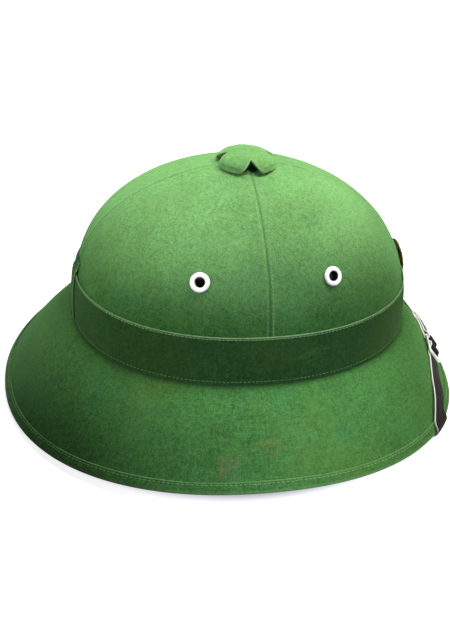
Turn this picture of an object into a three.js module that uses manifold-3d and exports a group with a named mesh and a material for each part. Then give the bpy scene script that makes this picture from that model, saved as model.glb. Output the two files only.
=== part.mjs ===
// Cloth-covered pith helmet: moulded shell, four-gore cover, hat band, bound brim,
// vent cap, eyelets, badge disc and a chin strap laid over the front of the brim.
// Millimetres, +X to the front, +Y to the wearer's left, +Z up, brim edge resting on z = 0.
import * as THREE from 'three';
import { mergeVertices } from 'three/addons/utils/BufferGeometryUtils.js';
import Module from 'manifold-3d';

// Crown, measured outside the cloth
const crownLength = 225.6;
const crownWidth = 180.2;
const crownSquareness = 2.17;
const crownHeight = 109.3;
const crownRoofPower = 1.68;
const crownWallPower = 2.85;
const crownLean = 3;
const footHeight = 54.4;

// Brim, measured from the foot of the crown to the end of the cloth
const brimReachFront = 42.1;
const brimReachBack = 48.9;
const brimReachSide = 47.2;
const brimSquareness = 2.15;
const brimDroop = 1.37;
const sideLift = 7;
const levelAngle = THREE.MathUtils.degToRad(8);
const edgeStretch = 10;

// Walls and clearances
const clothThickness = 1;
const shellThickness = 2;
const fitGap = 0.3;

// Edge binding, a strip of cloth folded round the edge
const bindingTop = 6.3;
const bindingUnder = 6;
const bindingBevel = 0.8;
const restInset = 1.4;

// Hat band and the cloth tab over its join at the back
const bandHeight = 34.2;
const tabHeight = 43;
const tabWidth = 15;

// Vent in the top of the crown and its cap
const ventRadius = 8;
const capRadius = 19.5;
const capHeight = 8.6;
const capThickness = 1.6;
const capNotchWidth = 16;
const capNotchHeight = 7.3;

// Eyelets, two on each side of the crown
const eyeletSpread = THREE.MathUtils.degToRad(29.6);
const eyeletHeight = 64.5;
const eyeletHole = 6.3;
const eyeletFlange = 12.2;
const eyeletWall = 0.8;
const eyeletRise = 1.2;
const eyeletLip = 0.9;

// Badge disc
const badgeDiameter = 24.4;
const badgeHeight = 34;
const badgeThickness = 1.2;
const badgeDome = 1;

// Chin strap
const strapWidth = 13;
const strapThickness = 1.1;
const strapClearance = 0.5;
const strapSetback = 20.1;
const strapCrossing = THREE.MathUtils.degToRad(35);
const strapSkew = THREE.MathUtils.degToRad(3.5);
const strapDoubling = 27;
const anchorAngle = THREE.MathUtils.degToRad(58);
const anchorReach = 10;
const anchorEnd = 8;
const rivetHead = 8;
const rivetHeadThickness = 1;
const rivetShank = 3;

// Slide of the chin strap
const slidePlace = 36.5;
const slideLength = 16;
const slideBar = 1.8;
const slideThickness = 1.6;
const slideSideBar = 1.9;
const slidePlay = 0.6;
const slideApproach = 8;

// Way of the strap over the brim, as shares of the way from its middle to the turn round the edge
const climbStart = 0.66;
const climbEnd = 0.84;
const lastOnBrim = 0.97;

// Number of flat facets round the helmet, a multiple of four so that the seams lie on them
const facets = 48;
const roofRings = 7;
const capFacets = 40;
const smallFacets = 12;
const shortStrapRows = 7;
const longStrapRows = 23;
const doubledRows = 4;
const curveShares = [0.35, 0.7];
const badgeShares = [0.5, 0];
const anchorShares = [0.25, 0.5, 0.75];
const notchStep = 0.01;
const cornersPerFace = 3;
const strapRails = [-1, 0, 1];

const facetAngle = (2 * Math.PI) / facets;
const shellOutside = clothThickness + fitGap;
const wallDepth = shellOutside + shellThickness;
const layerRise = fitGap + clothThickness;
const quarterTurn = Math.PI / 2;

const wasm = await Module();
wasm.setup();

const cloth = (color) => new THREE.MeshStandardMaterial({ color, roughness: 0.85, metalness: 0 });
const coverCloth = cloth(0x5f9650);
const bandCloth = cloth(0x264a24);
const shellBoard = new THREE.MeshStandardMaterial({ color: 0xb9a57c, roughness: 0.9, metalness: 0 });
const whiteEnamel = new THREE.MeshStandardMaterial({ color: 0xf1f2ee, roughness: 0.35, metalness: 0 });
const strapLeather = new THREE.MeshStandardMaterial({ color: 0x262422, roughness: 0.6, metalness: 0 });
const brightNickel = new THREE.MeshStandardMaterial({ color: 0xdedede, roughness: 0.25, metalness: 1 });
const paleBrass = new THREE.MeshStandardMaterial({ color: 0xc2a35a, roughness: 0.35, metalness: 1 });

const helmet = new THREE.Group();

function addPiece(name, geometry, material) {
  const mesh = new THREE.Mesh(geometry, material);
  mesh.name = name;
  helmet.add(mesh);
  return mesh;
}

// Radius of a squarish oval in the direction angle, which is 0 at the front
function ovalRadius(angle, halfLength, halfWidth, squareness) {
  const along = Math.abs(Math.cos(angle) / halfLength) ** squareness;
  const across = Math.abs(Math.sin(angle) / halfWidth) ** squareness;
  return (along + across) ** (-1 / squareness);
}

function footRadius(angle) {
  return ovalRadius(angle, crownLength / 2, crownWidth / 2, crownSquareness);
}

function edgeRadius(angle) {
  const reach = Math.cos(angle) > 0 ? brimReachFront : brimReachBack;
  return ovalRadius(angle, crownLength / 2 + reach, crownWidth / 2 + brimReachSide, brimSquareness);
}

// Height of the bottom of the edge over the surface, level at the front and at the back
function edgeLift(angle) {
  const level = Math.sin(levelAngle) ** 2;
  return sideLift * Math.max(0, (Math.sin(angle) ** 2 - level) / (1 - level));
}

// Section of the crown's cloth in the radial plane at an angle, from the vent down to the foot.
// Vector2 x is the distance from the crown's axis and y the height.
function crownSection(angle) {
  const foot = footRadius(angle);
  const pointAt = (turn) => {
    const radius = foot * Math.cos(turn) ** (2 / crownRoofPower);
    const height = crownHeight * Math.sin(turn) ** (2 / crownWallPower);
    return new THREE.Vector2(radius, footHeight + height);
  };
  const turnAtHeight = (height) => Math.asin((height / crownHeight) ** (crownWallPower / 2));
  const bandTurn = turnAtHeight(bandHeight);
  const ventTurn = Math.acos((ventRadius / foot) ** (crownRoofPower / 2));
  const points = [];
  for (let ring = roofRings; ring > 0; ring -= 1) {
    points.push(pointAt(bandTurn + ((ventTurn - bandTurn) * ring) / roofRings));
  }
  points.push(pointAt(bandTurn), pointAt(turnAtHeight(bandHeight / 2)), pointAt(0));
  return points;
}

// Section of the brim's cloth from the foot of the crown out to the edge, where it runs straight
function brimSection(angle) {
  const foot = new THREE.Vector2(footRadius(angle), footHeight);
  const lift = edgeLift(angle);
  const radius = edgeRadius(angle);
  const slope = Math.atan((brimDroop * (footHeight - lift)) / (radius - foot.x));
  const down = new THREE.Vector2(Math.cos(slope), -Math.sin(slope));
  const restDepth = wallDepth + layerRise - restInset;
  const edge = new THREE.Vector2(radius, lift + layerRise * Math.sin(slope) + restDepth * Math.cos(slope));
  const bend = edge.clone().addScaledVector(down, -edgeStretch);
  const run = bend.x - foot.x;
  const drop = foot.y - bend.y;
  const power = (Math.tan(slope) * run) / drop;
  const points = [foot];
  for (const share of curveShares) {
    points.push(new THREE.Vector2(foot.x + run * share, foot.y - drop * share ** power));
  }
  points.push(bend, edge);
  return points;
}

// The same sections on the flat facets, for any angle between two of the section planes
function onFacets(section, angle) {
  const step = Math.floor(angle / facetAngle + 1e-9);
  const first = step * facetAngle;
  const last = first + facetAngle;
  if (Math.abs(angle - first) < 1e-9) return section(first);
  const ends = section(last);
  return section(first).map((start, index) => {
    const end = ends[index];
    const across = Math.sin(last - angle) * end.x;
    const share = (start.x * Math.sin(angle - first)) / (across + start.x * Math.sin(angle - first));
    const cosines = start.x * Math.cos(angle - first) * (1 - share) + end.x * Math.cos(last - angle) * share;
    return new THREE.Vector2(cosines, THREE.MathUtils.lerp(start.y, end.y, share));
  });
}

// Outward normal of the stretch between two points of a section
function outward(from, to) {
  return new THREE.Vector2(from.y - to.y, to.x - from.x).normalize();
}

// The section moved outward by a distance, with mitred corners
function offsetSection(points, distance) {
  return points.map((point, index) => {
    const before = index > 0 ? outward(points[index - 1], point) : outward(point, points[index + 1]);
    const after = index < points.length - 1 ? outward(point, points[index + 1]) : before;
    const mitre = before.clone().add(after).normalize();
    return point.clone().addScaledVector(mitre, distance / mitre.dot(before));
  });
}

// A point of a section placed in space; the crown leans back a little towards its top
function place(point, angle, aside = 0) {
  const rise = Math.max(0, (point.y - footHeight) / crownHeight);
  const x = point.x * Math.cos(angle) - aside * Math.sin(angle) - crownLean * rise;
  return new THREE.Vector3(x, point.x * Math.sin(angle) + aside * Math.cos(angle), point.y);
}

// Closed body between two sheets of points. Each row holds two lists of equal length, outside
// and inside. The rows are joined in order, and the last one to the first where round is true.
function sheetBody(rows, round) {
  const across = rows[0].outside.length;
  const positions = [];
  for (const row of rows) {
    for (const point of [...row.outside, ...row.inside]) positions.push(point.x, point.y, point.z);
  }
  const outer = (row, column) => (row % rows.length) * 2 * across + column;
  const inner = (row, column) => outer(row, column) + across;
  const indices = [];
  const quad = (a, b, c, d) => indices.push(a, b, c, a, c, d);
  const lastRow = round ? rows.length : rows.length - 1;
  for (let row = 0; row < lastRow; row += 1) {
    for (let column = 0; column < across - 1; column += 1) {
      quad(outer(row, column), outer(row, column + 1), outer(row + 1, column + 1), outer(row + 1, column));
      quad(inner(row, column), inner(row + 1, column), inner(row + 1, column + 1), inner(row, column + 1));
    }
    const end = across - 1;
    quad(outer(row, 0), outer(row + 1, 0), inner(row + 1, 0), inner(row, 0));
    quad(outer(row, end), inner(row, end), inner(row + 1, end), outer(row + 1, end));
  }
  if (!round) {
    const end = rows.length - 1;
    for (let column = 0; column < across - 1; column += 1) {
      quad(outer(0, column), inner(0, column), inner(0, column + 1), outer(0, column + 1));
      quad(outer(end, column), outer(end, column + 1), inner(end, column + 1), inner(end, column));
    }
  }
  const geometry = new THREE.BufferGeometry();
  geometry.setAttribute('position', new THREE.Float32BufferAttribute(positions, 3));
  geometry.setIndex(indices);
  return facingOut(geometry);
}

// Merges equal points, drops triangles without area and turns the body's faces outward
function facingOut(geometry) {
  geometry.deleteAttribute('normal');
  geometry.deleteAttribute('uv');
  const merged = mergeVertices(geometry, 1e-4);
  const index = merged.getIndex().array;
  const corner = (at) => new THREE.Vector3().fromBufferAttribute(merged.getAttribute('position'), at);
  const kept = [];
  let volume = 0;
  for (let at = 0; at < index.length; at += cornersPerFace) {
    const [a, b, c] = [index[at], index[at + 1], index[at + 2]];
    if (a === b || b === c || c === a) continue;
    kept.push(a, b, c);
    volume += corner(a).dot(corner(b).cross(corner(c)));
  }
  merged.setIndex(volume < 0 ? kept.reverse() : kept);
  return merged;
}

function asManifold(geometry) {
  return new wasm.Manifold(new wasm.Mesh({
    numProp: 3,
    vertProperties: new Float32Array(geometry.getAttribute('position').array),
    triVerts: new Uint32Array(geometry.getIndex().array),
  }));
}

function asGeometry(body) {
  const mesh = body.getMesh();
  const geometry = new THREE.BufferGeometry();
  geometry.setAttribute('position', new THREE.BufferAttribute(new Float32Array(mesh.vertProperties), 3));
  geometry.setIndex(new THREE.BufferAttribute(new Uint32Array(mesh.triVerts), 1));
  return geometry;
}

// Round holes cut through a body, each given by a point on its axis, the axis and a radius
function drill(geometry, holes, length) {
  let body = asManifold(geometry);
  for (const hole of holes) {
    const bit = new THREE.CylinderGeometry(hole.radius, hole.radius, length, 16);
    bit.applyMatrix4(standing(hole.at, hole.axis));
    body = body.subtract(asManifold(facingOut(bit)));
  }
  return asGeometry(body);
}

// Matrix that puts a body turned about its Y axis on a point, with that axis along a direction
function standing(at, axis) {
  const turn = new THREE.Quaternion().setFromUnitVectors(new THREE.Vector3(0, 1, 0), axis);
  return new THREE.Matrix4().compose(at, turn, new THREE.Vector3(1, 1, 1));
}

// Point at a height on the crown, raised off the cloth, and the outward normal there
function crownSpot(angle, height, raised) {
  const points = onFacets(crownSection, angle);
  const level = footHeight + height;
  let index = 0;
  while (index < points.length - 2 && points[index + 1].y > level) index += 1;
  const [upper, lower] = [points[index], points[index + 1]];
  const normal = outward(upper, lower);
  const share = (upper.y - level) / (upper.y - lower.y);
  const point = upper.clone().lerp(lower, share).addScaledVector(normal, raised);
  return { point, normal };
}

// Point at a distance from the crown's axis on the brim, raised off the cloth
function brimSpot(angle, radius, raised) {
  const points = onFacets(brimSection, angle);
  let index = 0;
  while (index < points.length - 2 && points[index + 1].x < radius) index += 1;
  const [near, far] = [points[index], points[index + 1]];
  const share = (radius - near.x) / (far.x - near.x);
  const normal = outward(near, far);
  return { point: near.clone().lerp(far, share).addScaledVector(normal, raised), normal };
}

// Facing directions in space of a section's normal
function placedNormal(normal, angle) {
  return new THREE.Vector3(normal.x * Math.cos(angle), normal.x * Math.sin(angle), normal.y);
}

// Holes of the eyelets through cover and shell
const eyeletAngles = {
  right_rear: -quarterTurn - eyeletSpread,
  right_front: -quarterTurn + eyeletSpread,
  left_rear: quarterTurn + eyeletSpread,
  left_front: quarterTurn - eyeletSpread,
};
const eyeletBarrel = eyeletHole / 2 + eyeletWall;

// Outward normal of the crown over a patch round a point at a height
function crownNormal(angle, height, reach) {
  const turn = reach / footRadius(angle);
  const at = (aside, up) => place(crownSpot(angle + aside * turn, height + up * reach, 0).point, angle + aside * turn);
  const upward = at(0, 1).sub(at(0, -1));
  return at(1, 0).sub(at(-1, 0)).cross(upward).normalize();
}

function eyeletSeat(angle) {
  const at = place(crownSpot(angle, eyeletHeight, 0).point, angle);
  return { at, axis: crownNormal(angle, eyeletHeight, eyeletFlange / 2), radius: eyeletBarrel + fitGap };
}
const eyeletSeats = Object.values(eyeletAngles).map(eyeletSeat);

// Outline of the binding's outer face, from the end of its top leg round to its under leg
function bindingFace(angle, raised) {
  const points = onFacets(brimSection, angle);
  const [bend, edge] = points.slice(-2);
  const along = edge.clone().sub(bend).normalize();
  const out = outward(bend, edge);
  const at = (run, rise) => edge.clone().addScaledVector(along, run).addScaledVector(out, rise);
  const underRise = wallDepth + layerRise;
  const restRun = layerRise + (restInset * along.x) / along.y;
  const face = [
    at(-bindingTop, layerRise),
    at(layerRise - bindingBevel, layerRise),
    at(layerRise, layerRise - bindingBevel),
    at(layerRise, restInset - underRise),
    at(restRun, -underRise),
    at(-bindingUnder, -underRise),
  ];
  return raised === 0 ? face : offsetSection(face, raised);
}

// Inside of the binding, a little clear of the cover and the shell
function bindingLining(angle) {
  const points = onFacets(brimSection, angle);
  const [bend, edge] = points.slice(-2);
  const along = edge.clone().sub(bend).normalize();
  const out = outward(bend, edge);
  const at = (run, rise) => edge.clone().addScaledVector(along, run).addScaledVector(out, rise);
  const ease = fitGap / 3;
  return [
    at(-bindingTop, fitGap),
    at(ease, fitGap),
    at(fitGap, ease),
    at(fitGap, -wallDepth - ease),
    at(ease, -wallDepth - fitGap),
    at(-bindingUnder, -wallDepth - fitGap),
  ];
}

// One row of points for every section plane round the helmet
function ringRows(outsideOf, insideOf) {
  return Array.from({ length: facets }, (_, index) => {
    const angle = index * facetAngle;
    return {
      outside: outsideOf(angle).map((point) => place(point, angle)),
      inside: insideOf(angle).map((point) => place(point, angle)),
    };
  });
}

// Point of the shell's underside above or below a place on the plan
function underBrim(x, y) {
  const angle = Math.atan2(y, x);
  return place(brimSpot(angle, Math.hypot(x, y), -wallDepth).point, angle);
}

// Flat seat of the strap's riveted end: the plane that touches the underside of the brim from
// below, with the directions along the strap, across it and up through the brim
function anchorFrame(side) {
  const radius = footRadius(anchorAngle) + anchorReach;
  const middle = new THREE.Vector2(Math.cos(anchorAngle), side * Math.sin(anchorAngle)).multiplyScalar(radius);
  const turnEnd = place(bindingFace(side * strapCrossing, 0)[5], side * strapCrossing);
  const onward = new THREE.Vector2(turnEnd.x, turnEnd.y).sub(middle).normalize();
  const under = (along, aside) => underBrim(
    middle.x + along * onward.x - aside * onward.y,
    middle.y + along * onward.y + aside * onward.x,
  );
  const half = strapWidth / 2;
  const along = under(anchorEnd, 0).sub(under(-anchorEnd, 0)).normalize();
  const axis = along.clone().cross(under(0, half).sub(under(0, -half))).normalize();
  const across = axis.clone().cross(along);
  const roof = under(0, 0);
  const corners = [-1, 0, 1].flatMap((run) => [-half, 0, half].map((aside) => under(run * anchorEnd, aside)));
  const depth = Math.max(...corners.map((corner) => roof.clone().sub(corner).dot(axis)));
  return { at: roof.clone().addScaledVector(axis, -depth), axis, along, across, depth };
}
const anchors = { right: anchorFrame(-1), left: anchorFrame(1) };

function rivetHole(anchor) {
  return { at: anchor.at, axis: anchor.axis, radius: rivetShank / 2 + fitGap };
}

function makeShell() {
  const wholeSection = (angle) => [...crownSection(angle), ...brimSection(angle).slice(1)];
  const rows = ringRows(
    (angle) => offsetSection(wholeSection(angle), -shellOutside),
    (angle) => offsetSection(wholeSection(angle), -wallDepth),
  );
  const blank = sheetBody(rows, true);
  const drilledSides = drill(blank, eyeletSeats, 6 * wallDepth);
  const rivets = Object.values(anchors).map(rivetHole);
  addPiece('body_shell', drill(drilledSides, rivets, 4 * wallDepth), shellBoard);
}

// Four cloth gores of the crown, sewn together along the front, back and side seams
function makeGores() {
  const quarters = ['left_front', 'left_rear', 'right_rear', 'right_front'];
  quarters.forEach((name, quarter) => {
    const rows = [];
    const steps = facets / 4;
    for (let step = 0; step <= steps; step += 1) {
      const angle = quarter * quarterTurn + step * facetAngle;
      const aside = step === 0 ? fitGap / 2 : step === steps ? -fitGap / 2 : 0;
      const outside = crownSection(angle);
      const inside = offsetSection(outside, -clothThickness);
      outside[outside.length - 1].y += fitGap;
      inside[inside.length - 1].y = footHeight + fitGap;
      rows.push({
        outside: outside.map((point) => place(point, angle, aside)),
        inside: inside.map((point) => place(point, angle, aside)),
      });
    }
    const seat = eyeletSeat(eyeletAngles[name]);
    addPiece(`crown_gore_${name}`, drill(sheetBody(rows, false), [seat], 4 * wallDepth), coverCloth);
  });
}

function makeBrimCover() {
  const rows = ringRows(brimSection, (angle) => offsetSection(brimSection(angle), -clothThickness));
  addPiece('brim_cover', sheetBody(rows, true), coverCloth);
}

function makeBinding() {
  const rows = ringRows((angle) => bindingFace(angle, 0), bindingLining);
  return addPiece('edge_binding', sheetBody(rows, true), coverCloth);
}

// Foot of the crown up to the top of the band, raised off the cloth and clear of the brim
function bandSection(angle, raised) {
  const points = offsetSection(onFacets(crownSection, angle).slice(-3), raised);
  points[points.length - 1].y = footHeight + fitGap;
  return points;
}

function makeBand() {
  const rows = ringRows((angle) => bandSection(angle, layerRise), (angle) => bandSection(angle, fitGap));
  addPiece('hat_band', sheetBody(rows, true), bandCloth);
}

// Cloth tab over the band at the back: lies on the band and steps down to the crown above it
function makeTab() {
  const halfAngle = Math.atan(tabWidth / 2 / footRadius(Math.PI));
  const onBand = layerRise + fitGap;
  const rows = [Math.PI - halfAngle, Math.PI, Math.PI + halfAngle].map((angle) => {
    const sheet = (extra) => {
      const spot = (height, raised) => crownSpot(angle, height, raised + extra).point;
      const points = [
        spot(tabHeight, fitGap),
        spot(bandHeight + 4 * clothThickness, fitGap),
        spot(bandHeight + clothThickness, onBand),
        ...bandSection(angle, onBand + extra),
      ];
      return points.map((point) => place(point, angle));
    };
    return { outside: sheet(clothThickness), inside: sheet(0) };
  });
  addPiece('band_tab', sheetBody(rows, false), bandCloth);
}

// Vent cap: a low dome with an arched notch over each of the four seams
function makeCap() {
  const domeShares = [
    { radius: 0, height: 1 },
    { radius: 0.35, height: 0.98 },
    { radius: 0.65, height: 0.87 },
    { radius: 0.85, height: 0.62 },
    { radius: 0.96, height: 0.3 },
    { radius: 1, height: 0 },
  ];
  const apexHeight = footHeight + crownHeight;
  const crownFall = (radius, angle) => {
    const share = radius / footRadius(angle);
    return crownHeight * (1 - (1 - share ** crownRoofPower) ** (1 / crownWallPower));
  };
  const rimHeight = apexHeight - crownFall(capRadius, 0) + 2 * fitGap;
  const domePoint = (share) => {
    const stretch = share * (domeShares.length - 1);
    const index = Math.min(Math.floor(stretch), domeShares.length - 2);
    const [upper, lower] = [domeShares[index], domeShares[index + 1]];
    const radius = THREE.MathUtils.lerp(upper.radius, lower.radius, stretch - index);
    const height = THREE.MathUtils.lerp(upper.height, lower.height, stretch - index);
    return new THREE.Vector2(radius * capRadius, rimHeight + height * capHeight);
  };
  const notchTurn = Math.asin(capNotchWidth / 2 / capRadius);
  const domeEnd = (angle) => {
    const fromNotch = Math.abs(angle - Math.round(angle / quarterTurn) * quarterTurn);
    const open = Math.max(0, 1 - fromNotch / notchTurn);
    const level = (capNotchHeight / capHeight) * open;
    let end = 1;
    while (end > 0 && domePoint(end).y < rimHeight + level * capHeight) end -= notchStep;
    return end;
  };
  const steps = domeShares.length - 1;
  const rows = Array.from({ length: capFacets }, (_, index) => {
    const angle = (index * 2 * Math.PI) / capFacets;
    const end = domeEnd(angle);
    const outline = Array.from({ length: steps + 1 }, (_, step) => domePoint((end * step) / steps));
    const inside = offsetSection(outline, -capThickness);
    inside[0].x = 0;
    const atTop = (point) => new THREE.Vector3(
      point.x * Math.cos(angle) - crownLean,
      point.x * Math.sin(angle),
      point.y,
    );
    return { outside: outline.map(atTop), inside: inside.map(atTop) };
  });
  addPiece('vent_cap', sheetBody(rows, true), coverCloth);
}

function makeEyelets() {
  const inward = wallDepth + 2 * fitGap;
  const seatRise = 1.5 * fitGap;
  const flange = eyeletFlange / 2;
  const hole = eyeletHole / 2;
  const lip = eyeletBarrel + eyeletLip;
  const outline = [
    [hole, -inward - eyeletLip],
    [lip, -inward - eyeletLip],
    [lip, -inward],
    [eyeletBarrel, -inward],
    [eyeletBarrel, seatRise],
    [flange, seatRise],
    [(flange + hole) / 2, seatRise + eyeletRise],
    [hole, seatRise + eyeletRise / 2],
    [hole, -inward - eyeletLip],
  ].map(([radius, rise]) => new THREE.Vector2(radius, rise));
  for (const [name, angle] of Object.entries(eyeletAngles)) {
    const seat = eyeletSeat(angle);
    const eyelet = facingOut(new THREE.LatheGeometry(outline, smallFacets));
    eyelet.applyMatrix4(standing(seat.at, seat.axis));
    addPiece(`eyelet_${name}`, eyelet, whiteEnamel);
  }
}

// Plain domed disc on the front of the crown, lying over the top edge of the band
function makeBadge() {
  const radius = badgeDiameter / 2;
  const outline = [[0, 0], [radius, 0], [radius, badgeThickness / 2], [radius - badgeThickness, badgeThickness]];
  for (const share of badgeShares) {
    outline.push([(radius - badgeThickness) * share, badgeThickness + badgeDome * (1 - share ** 2)]);
  }
  const disc = new THREE.LatheGeometry(outline.map(([x, y]) => new THREE.Vector2(x, y)), 2 * smallFacets);
  const [upper, middle, lower] = [1, 0, -1].map((side) => {
    return crownSpot(0, badgeHeight + (side * badgeDiameter) / 4, 0).point;
  });
  const axis = placedNormal(outward(upper, lower), 0);
  const at = place(middle, 0).addScaledVector(axis, layerRise + 2 * fitGap);
  const badge = facingOut(disc);
  badge.applyMatrix4(standing(at, axis));
  addPiece('badge_disc', badge, paleBrass);
}

// Where one line along the chin strap meets the binding on either side of the front
function railAngle(rail) {
  return strapCrossing + rail * strapSkew;
}

// Point of the chin strap on top of the brim. The run goes from -1 at the wearer's right edge
// to 1 at the left one, and the rail from -1 on the outer border of the strap to 1 on the inner.
function strapOnBrim(run, rail, raised) {
  const middle = crownLength / 2 + brimReachFront - strapSetback;
  const slope = brimSpot(0, middle, 0).normal;
  const front = middle - (rail * slope.y * strapWidth) / 2;
  const turnStart = bindingFace(railAngle(rail), 0)[0];
  const turn = place(turnStart, railAngle(rail));
  const y = run * turn.y;
  const x = front - (front - turn.x) * run ** 2;
  const angle = Math.atan2(y, x);
  const overBinding = THREE.MathUtils.smoothstep(Math.abs(run), climbStart, climbEnd) * layerRise;
  return place(brimSpot(angle, Math.hypot(x, y), raised + overBinding).point, angle);
}

// Row of the strap given by the height of its under face for every rail
function strapRow(pointAt) {
  return {
    outside: strapRails.map((rail) => pointAt(rail, strapThickness)),
    inside: strapRails.map((rail) => pointAt(rail, 0)),
  };
}

function rowsOnBrim(runs, raised) {
  return runs.map((run) => strapRow((rail, extra) => strapOnBrim(run, rail, raised + extra)));
}

// Round the edge on one side, from the top leg of the binding to its under leg
function rowsRoundEdge(side) {
  return [1, 2, 3, 4, 5].map((index) => strapRow((rail, extra) => {
    const angle = side * railAngle(rail);
    return place(bindingFace(angle, strapClearance + extra)[index], angle);
  }));
}

// Straight under the brim to the rivet, and a little past it
function rowsToAnchor(side) {
  const anchor = side < 0 ? anchors.right : anchors.left;
  const anchorRow = (distance) => strapRow((rail, extra) => {
    const inward = -strapClearance - extra;
    const across = (side * rail * strapWidth) / 2;
    return anchor.at.clone()
      .addScaledVector(anchor.axis, inward)
      .addScaledVector(anchor.along, distance)
      .addScaledVector(anchor.across, across);
  });
  const start = rowsRoundEdge(side).pop();
  const end = anchorRow(anchorEnd);
  const between = anchorShares.map((share) => ({
    outside: start.outside.map((point, index) => point.clone().lerp(end.outside[index], share)),
    inside: start.inside.map((point, index) => point.clone().lerp(end.inside[index], share)),
  }));
  return [...between, end, anchorRow(-anchorEnd)];
}

// Frame of the slide: along the strap towards the right edge, across it, and off the brim
function slideFrame() {
  const turn = place(bindingFace(railAngle(0), 0)[0], railAngle(0));
  const run = -slidePlace / turn.y;
  const reach = (slideLength / 2) / turn.y;
  const along = strapOnBrim(run - reach, 0, 0).sub(strapOnBrim(run + reach, 0, 0)).normalize();
  const across = strapOnBrim(run, 1, 0).sub(strapOnBrim(run, -1, 0)).normalize();
  const off = new THREE.Vector3().crossVectors(across, along).normalize();
  if (off.z < 0) off.negate();
  const square = new THREE.Vector3().crossVectors(along, off).normalize();
  if (square.dot(across) < 0) square.negate();
  return { at: strapOnBrim(run, 0, 0), along, across: square, off, run, perLength: 1 / turn.y };
}
const slide = slideFrame();
const barPlace = (slideLength - slideBar) / 2;
const underBar = strapClearance + strapThickness / 2;
const barBottom = strapClearance + strapThickness + fitGap;
const barTop = barBottom + slideThickness;
const overBar = barTop + fitGap + strapThickness / 2;

// Rows of the strap that follow a line of places along it and heights of its middle
function rowsAtSlide(line) {
  return line.map((point, index) => {
    const before = line[Math.max(index - 1, 0)];
    const after = line[Math.min(index + 1, line.length - 1)];
    const normal = new THREE.Vector2(before.y - after.y, after.x - before.x).normalize();
    return strapRow((rail, extra) => {
      const centre = point.clone().addScaledVector(normal, extra - strapThickness / 2);
      return slide.at.clone()
        .addScaledVector(slide.along, centre.x)
        .addScaledVector(slide.off, centre.y)
        .addScaledVector(slide.across, (rail * strapWidth) / 2);
    });
  });
}

function runsBetween(from, to, count) {
  return Array.from({ length: count }, (_, index) => THREE.MathUtils.lerp(from, to, index / (count - 1)));
}

// Right part of the strap: rivet, edge, up under the slide's lower bar and over its middle bar
function makeShortStrap() {
  const half = slideBar / 2;
  const clear = fitGap + strapThickness / 2;
  const line = [
    [barPlace + half + slideApproach / 4, underBar],
    [barPlace - half - clear, underBar],
    [barPlace - half - 2 * clear, underBar + clear],
    [half + 2.5 * clear, (underBar + overBar) / 2],
    [half + clear, overBar - clear / 2],
    [half, overBar],
    [-half, overBar],
    [-half - clear, overBar - clear / 2],
    [-half - 2 * clear, (underBar + overBar) / 2],
    [-half - 2.3 * clear, underBar],
  ].map(([along, height]) => new THREE.Vector2(along, height));
  const slideEnd = slide.run - slide.perLength * (barPlace + half + slideApproach);
  const rows = [
    ...rowsToAnchor(-1).reverse(),
    ...rowsRoundEdge(-1).reverse(),
    ...rowsOnBrim(runsBetween(-lastOnBrim, slideEnd, shortStrapRows), strapClearance),
    ...flipped(rowsAtSlide(line)),
  ];
  const strap = drill(sheetBody(rows, false), [rivetHole(anchors.right)], 4 * wallDepth);
  addPiece('chin_strap_short', strap, strapLeather);
}

// Left part of the strap: doubled back round the slide's upper bar, across the front, to its rivet
function makeLongStrap() {
  const half = slideBar / 2;
  const clear = fitGap + strapThickness / 2;
  const leave = slide.run + slide.perLength * (barPlace + slideApproach);
  const doubled = slide.run + slide.perLength * (barPlace + strapDoubling);
  const onTop = strapClearance + strapThickness + fitGap;
  const line = [
    [-barPlace - half, overBar],
    [-barPlace + half, overBar],
    [-barPlace + half + 0.8 * clear, overBar - clear / 2],
    [-barPlace + half + clear, (underBar + overBar) / 2],
    [-barPlace + half + 0.8 * clear, underBar + clear / 2],
    [-barPlace + half, underBar],
    [-barPlace - half, underBar],
  ].map(([along, height]) => new THREE.Vector2(along, height));
  const turned = rowsAtSlide(line);
  const rows = [
    ...rowsOnBrim(runsBetween(doubled, leave, doubledRows), onTop),
    ...turned,
    ...flipped(rowsOnBrim(runsBetween(leave, lastOnBrim, longStrapRows), strapClearance)),
    ...flipped(rowsRoundEdge(1)),
    ...flipped(rowsToAnchor(1)),
  ];
  const strap = drill(sheetBody(rows, false), [rivetHole(anchors.left)], 4 * wallDepth);
  addPiece('chin_strap_long', strap, strapLeather);
}

// The same rows with their two faces exchanged, for the layer past a turn round a bar
function flipped(rows) {
  return rows.map((row) => ({ outside: row.inside, inside: row.outside }));
}

function makeSlide() {
  const halfWidth = strapWidth / 2 + slidePlay + slideSideBar;
  const halfLength = slideLength / 2;
  const corner = slideSideBar / 2;
  const plate = new THREE.Shape();
  plate.moveTo(-halfLength + corner, -halfWidth);
  plate.lineTo(halfLength - corner, -halfWidth);
  plate.lineTo(halfLength, -halfWidth + corner);
  plate.lineTo(halfLength, halfWidth - corner);
  plate.lineTo(halfLength - corner, halfWidth);
  plate.lineTo(-halfLength + corner, halfWidth);
  plate.lineTo(-halfLength, halfWidth - corner);
  plate.lineTo(-halfLength, -halfWidth + corner);
  const blank = facingOut(new THREE.ExtrudeGeometry(plate, { depth: slideThickness, bevelEnabled: false }));
  const window = new THREE.BoxGeometry(barPlace - slideBar, strapWidth + 2 * slidePlay, 3 * slideThickness);
  let body = asManifold(blank);
  for (const side of [-1, 1]) {
    const cut = window.clone().translate((side * barPlace) / 2, 0, slideThickness / 2);
    body = body.subtract(asManifold(facingOut(cut)));
  }
  const frame = asGeometry(body);
  const axes = new THREE.Matrix4().makeBasis(slide.along, slide.across, slide.off);
  const at = slide.at.clone().addScaledVector(slide.off, barBottom);
  frame.applyMatrix4(axes.setPosition(at));
  addPiece('strap_slide', facingOut(frame), brightNickel);
}

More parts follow.
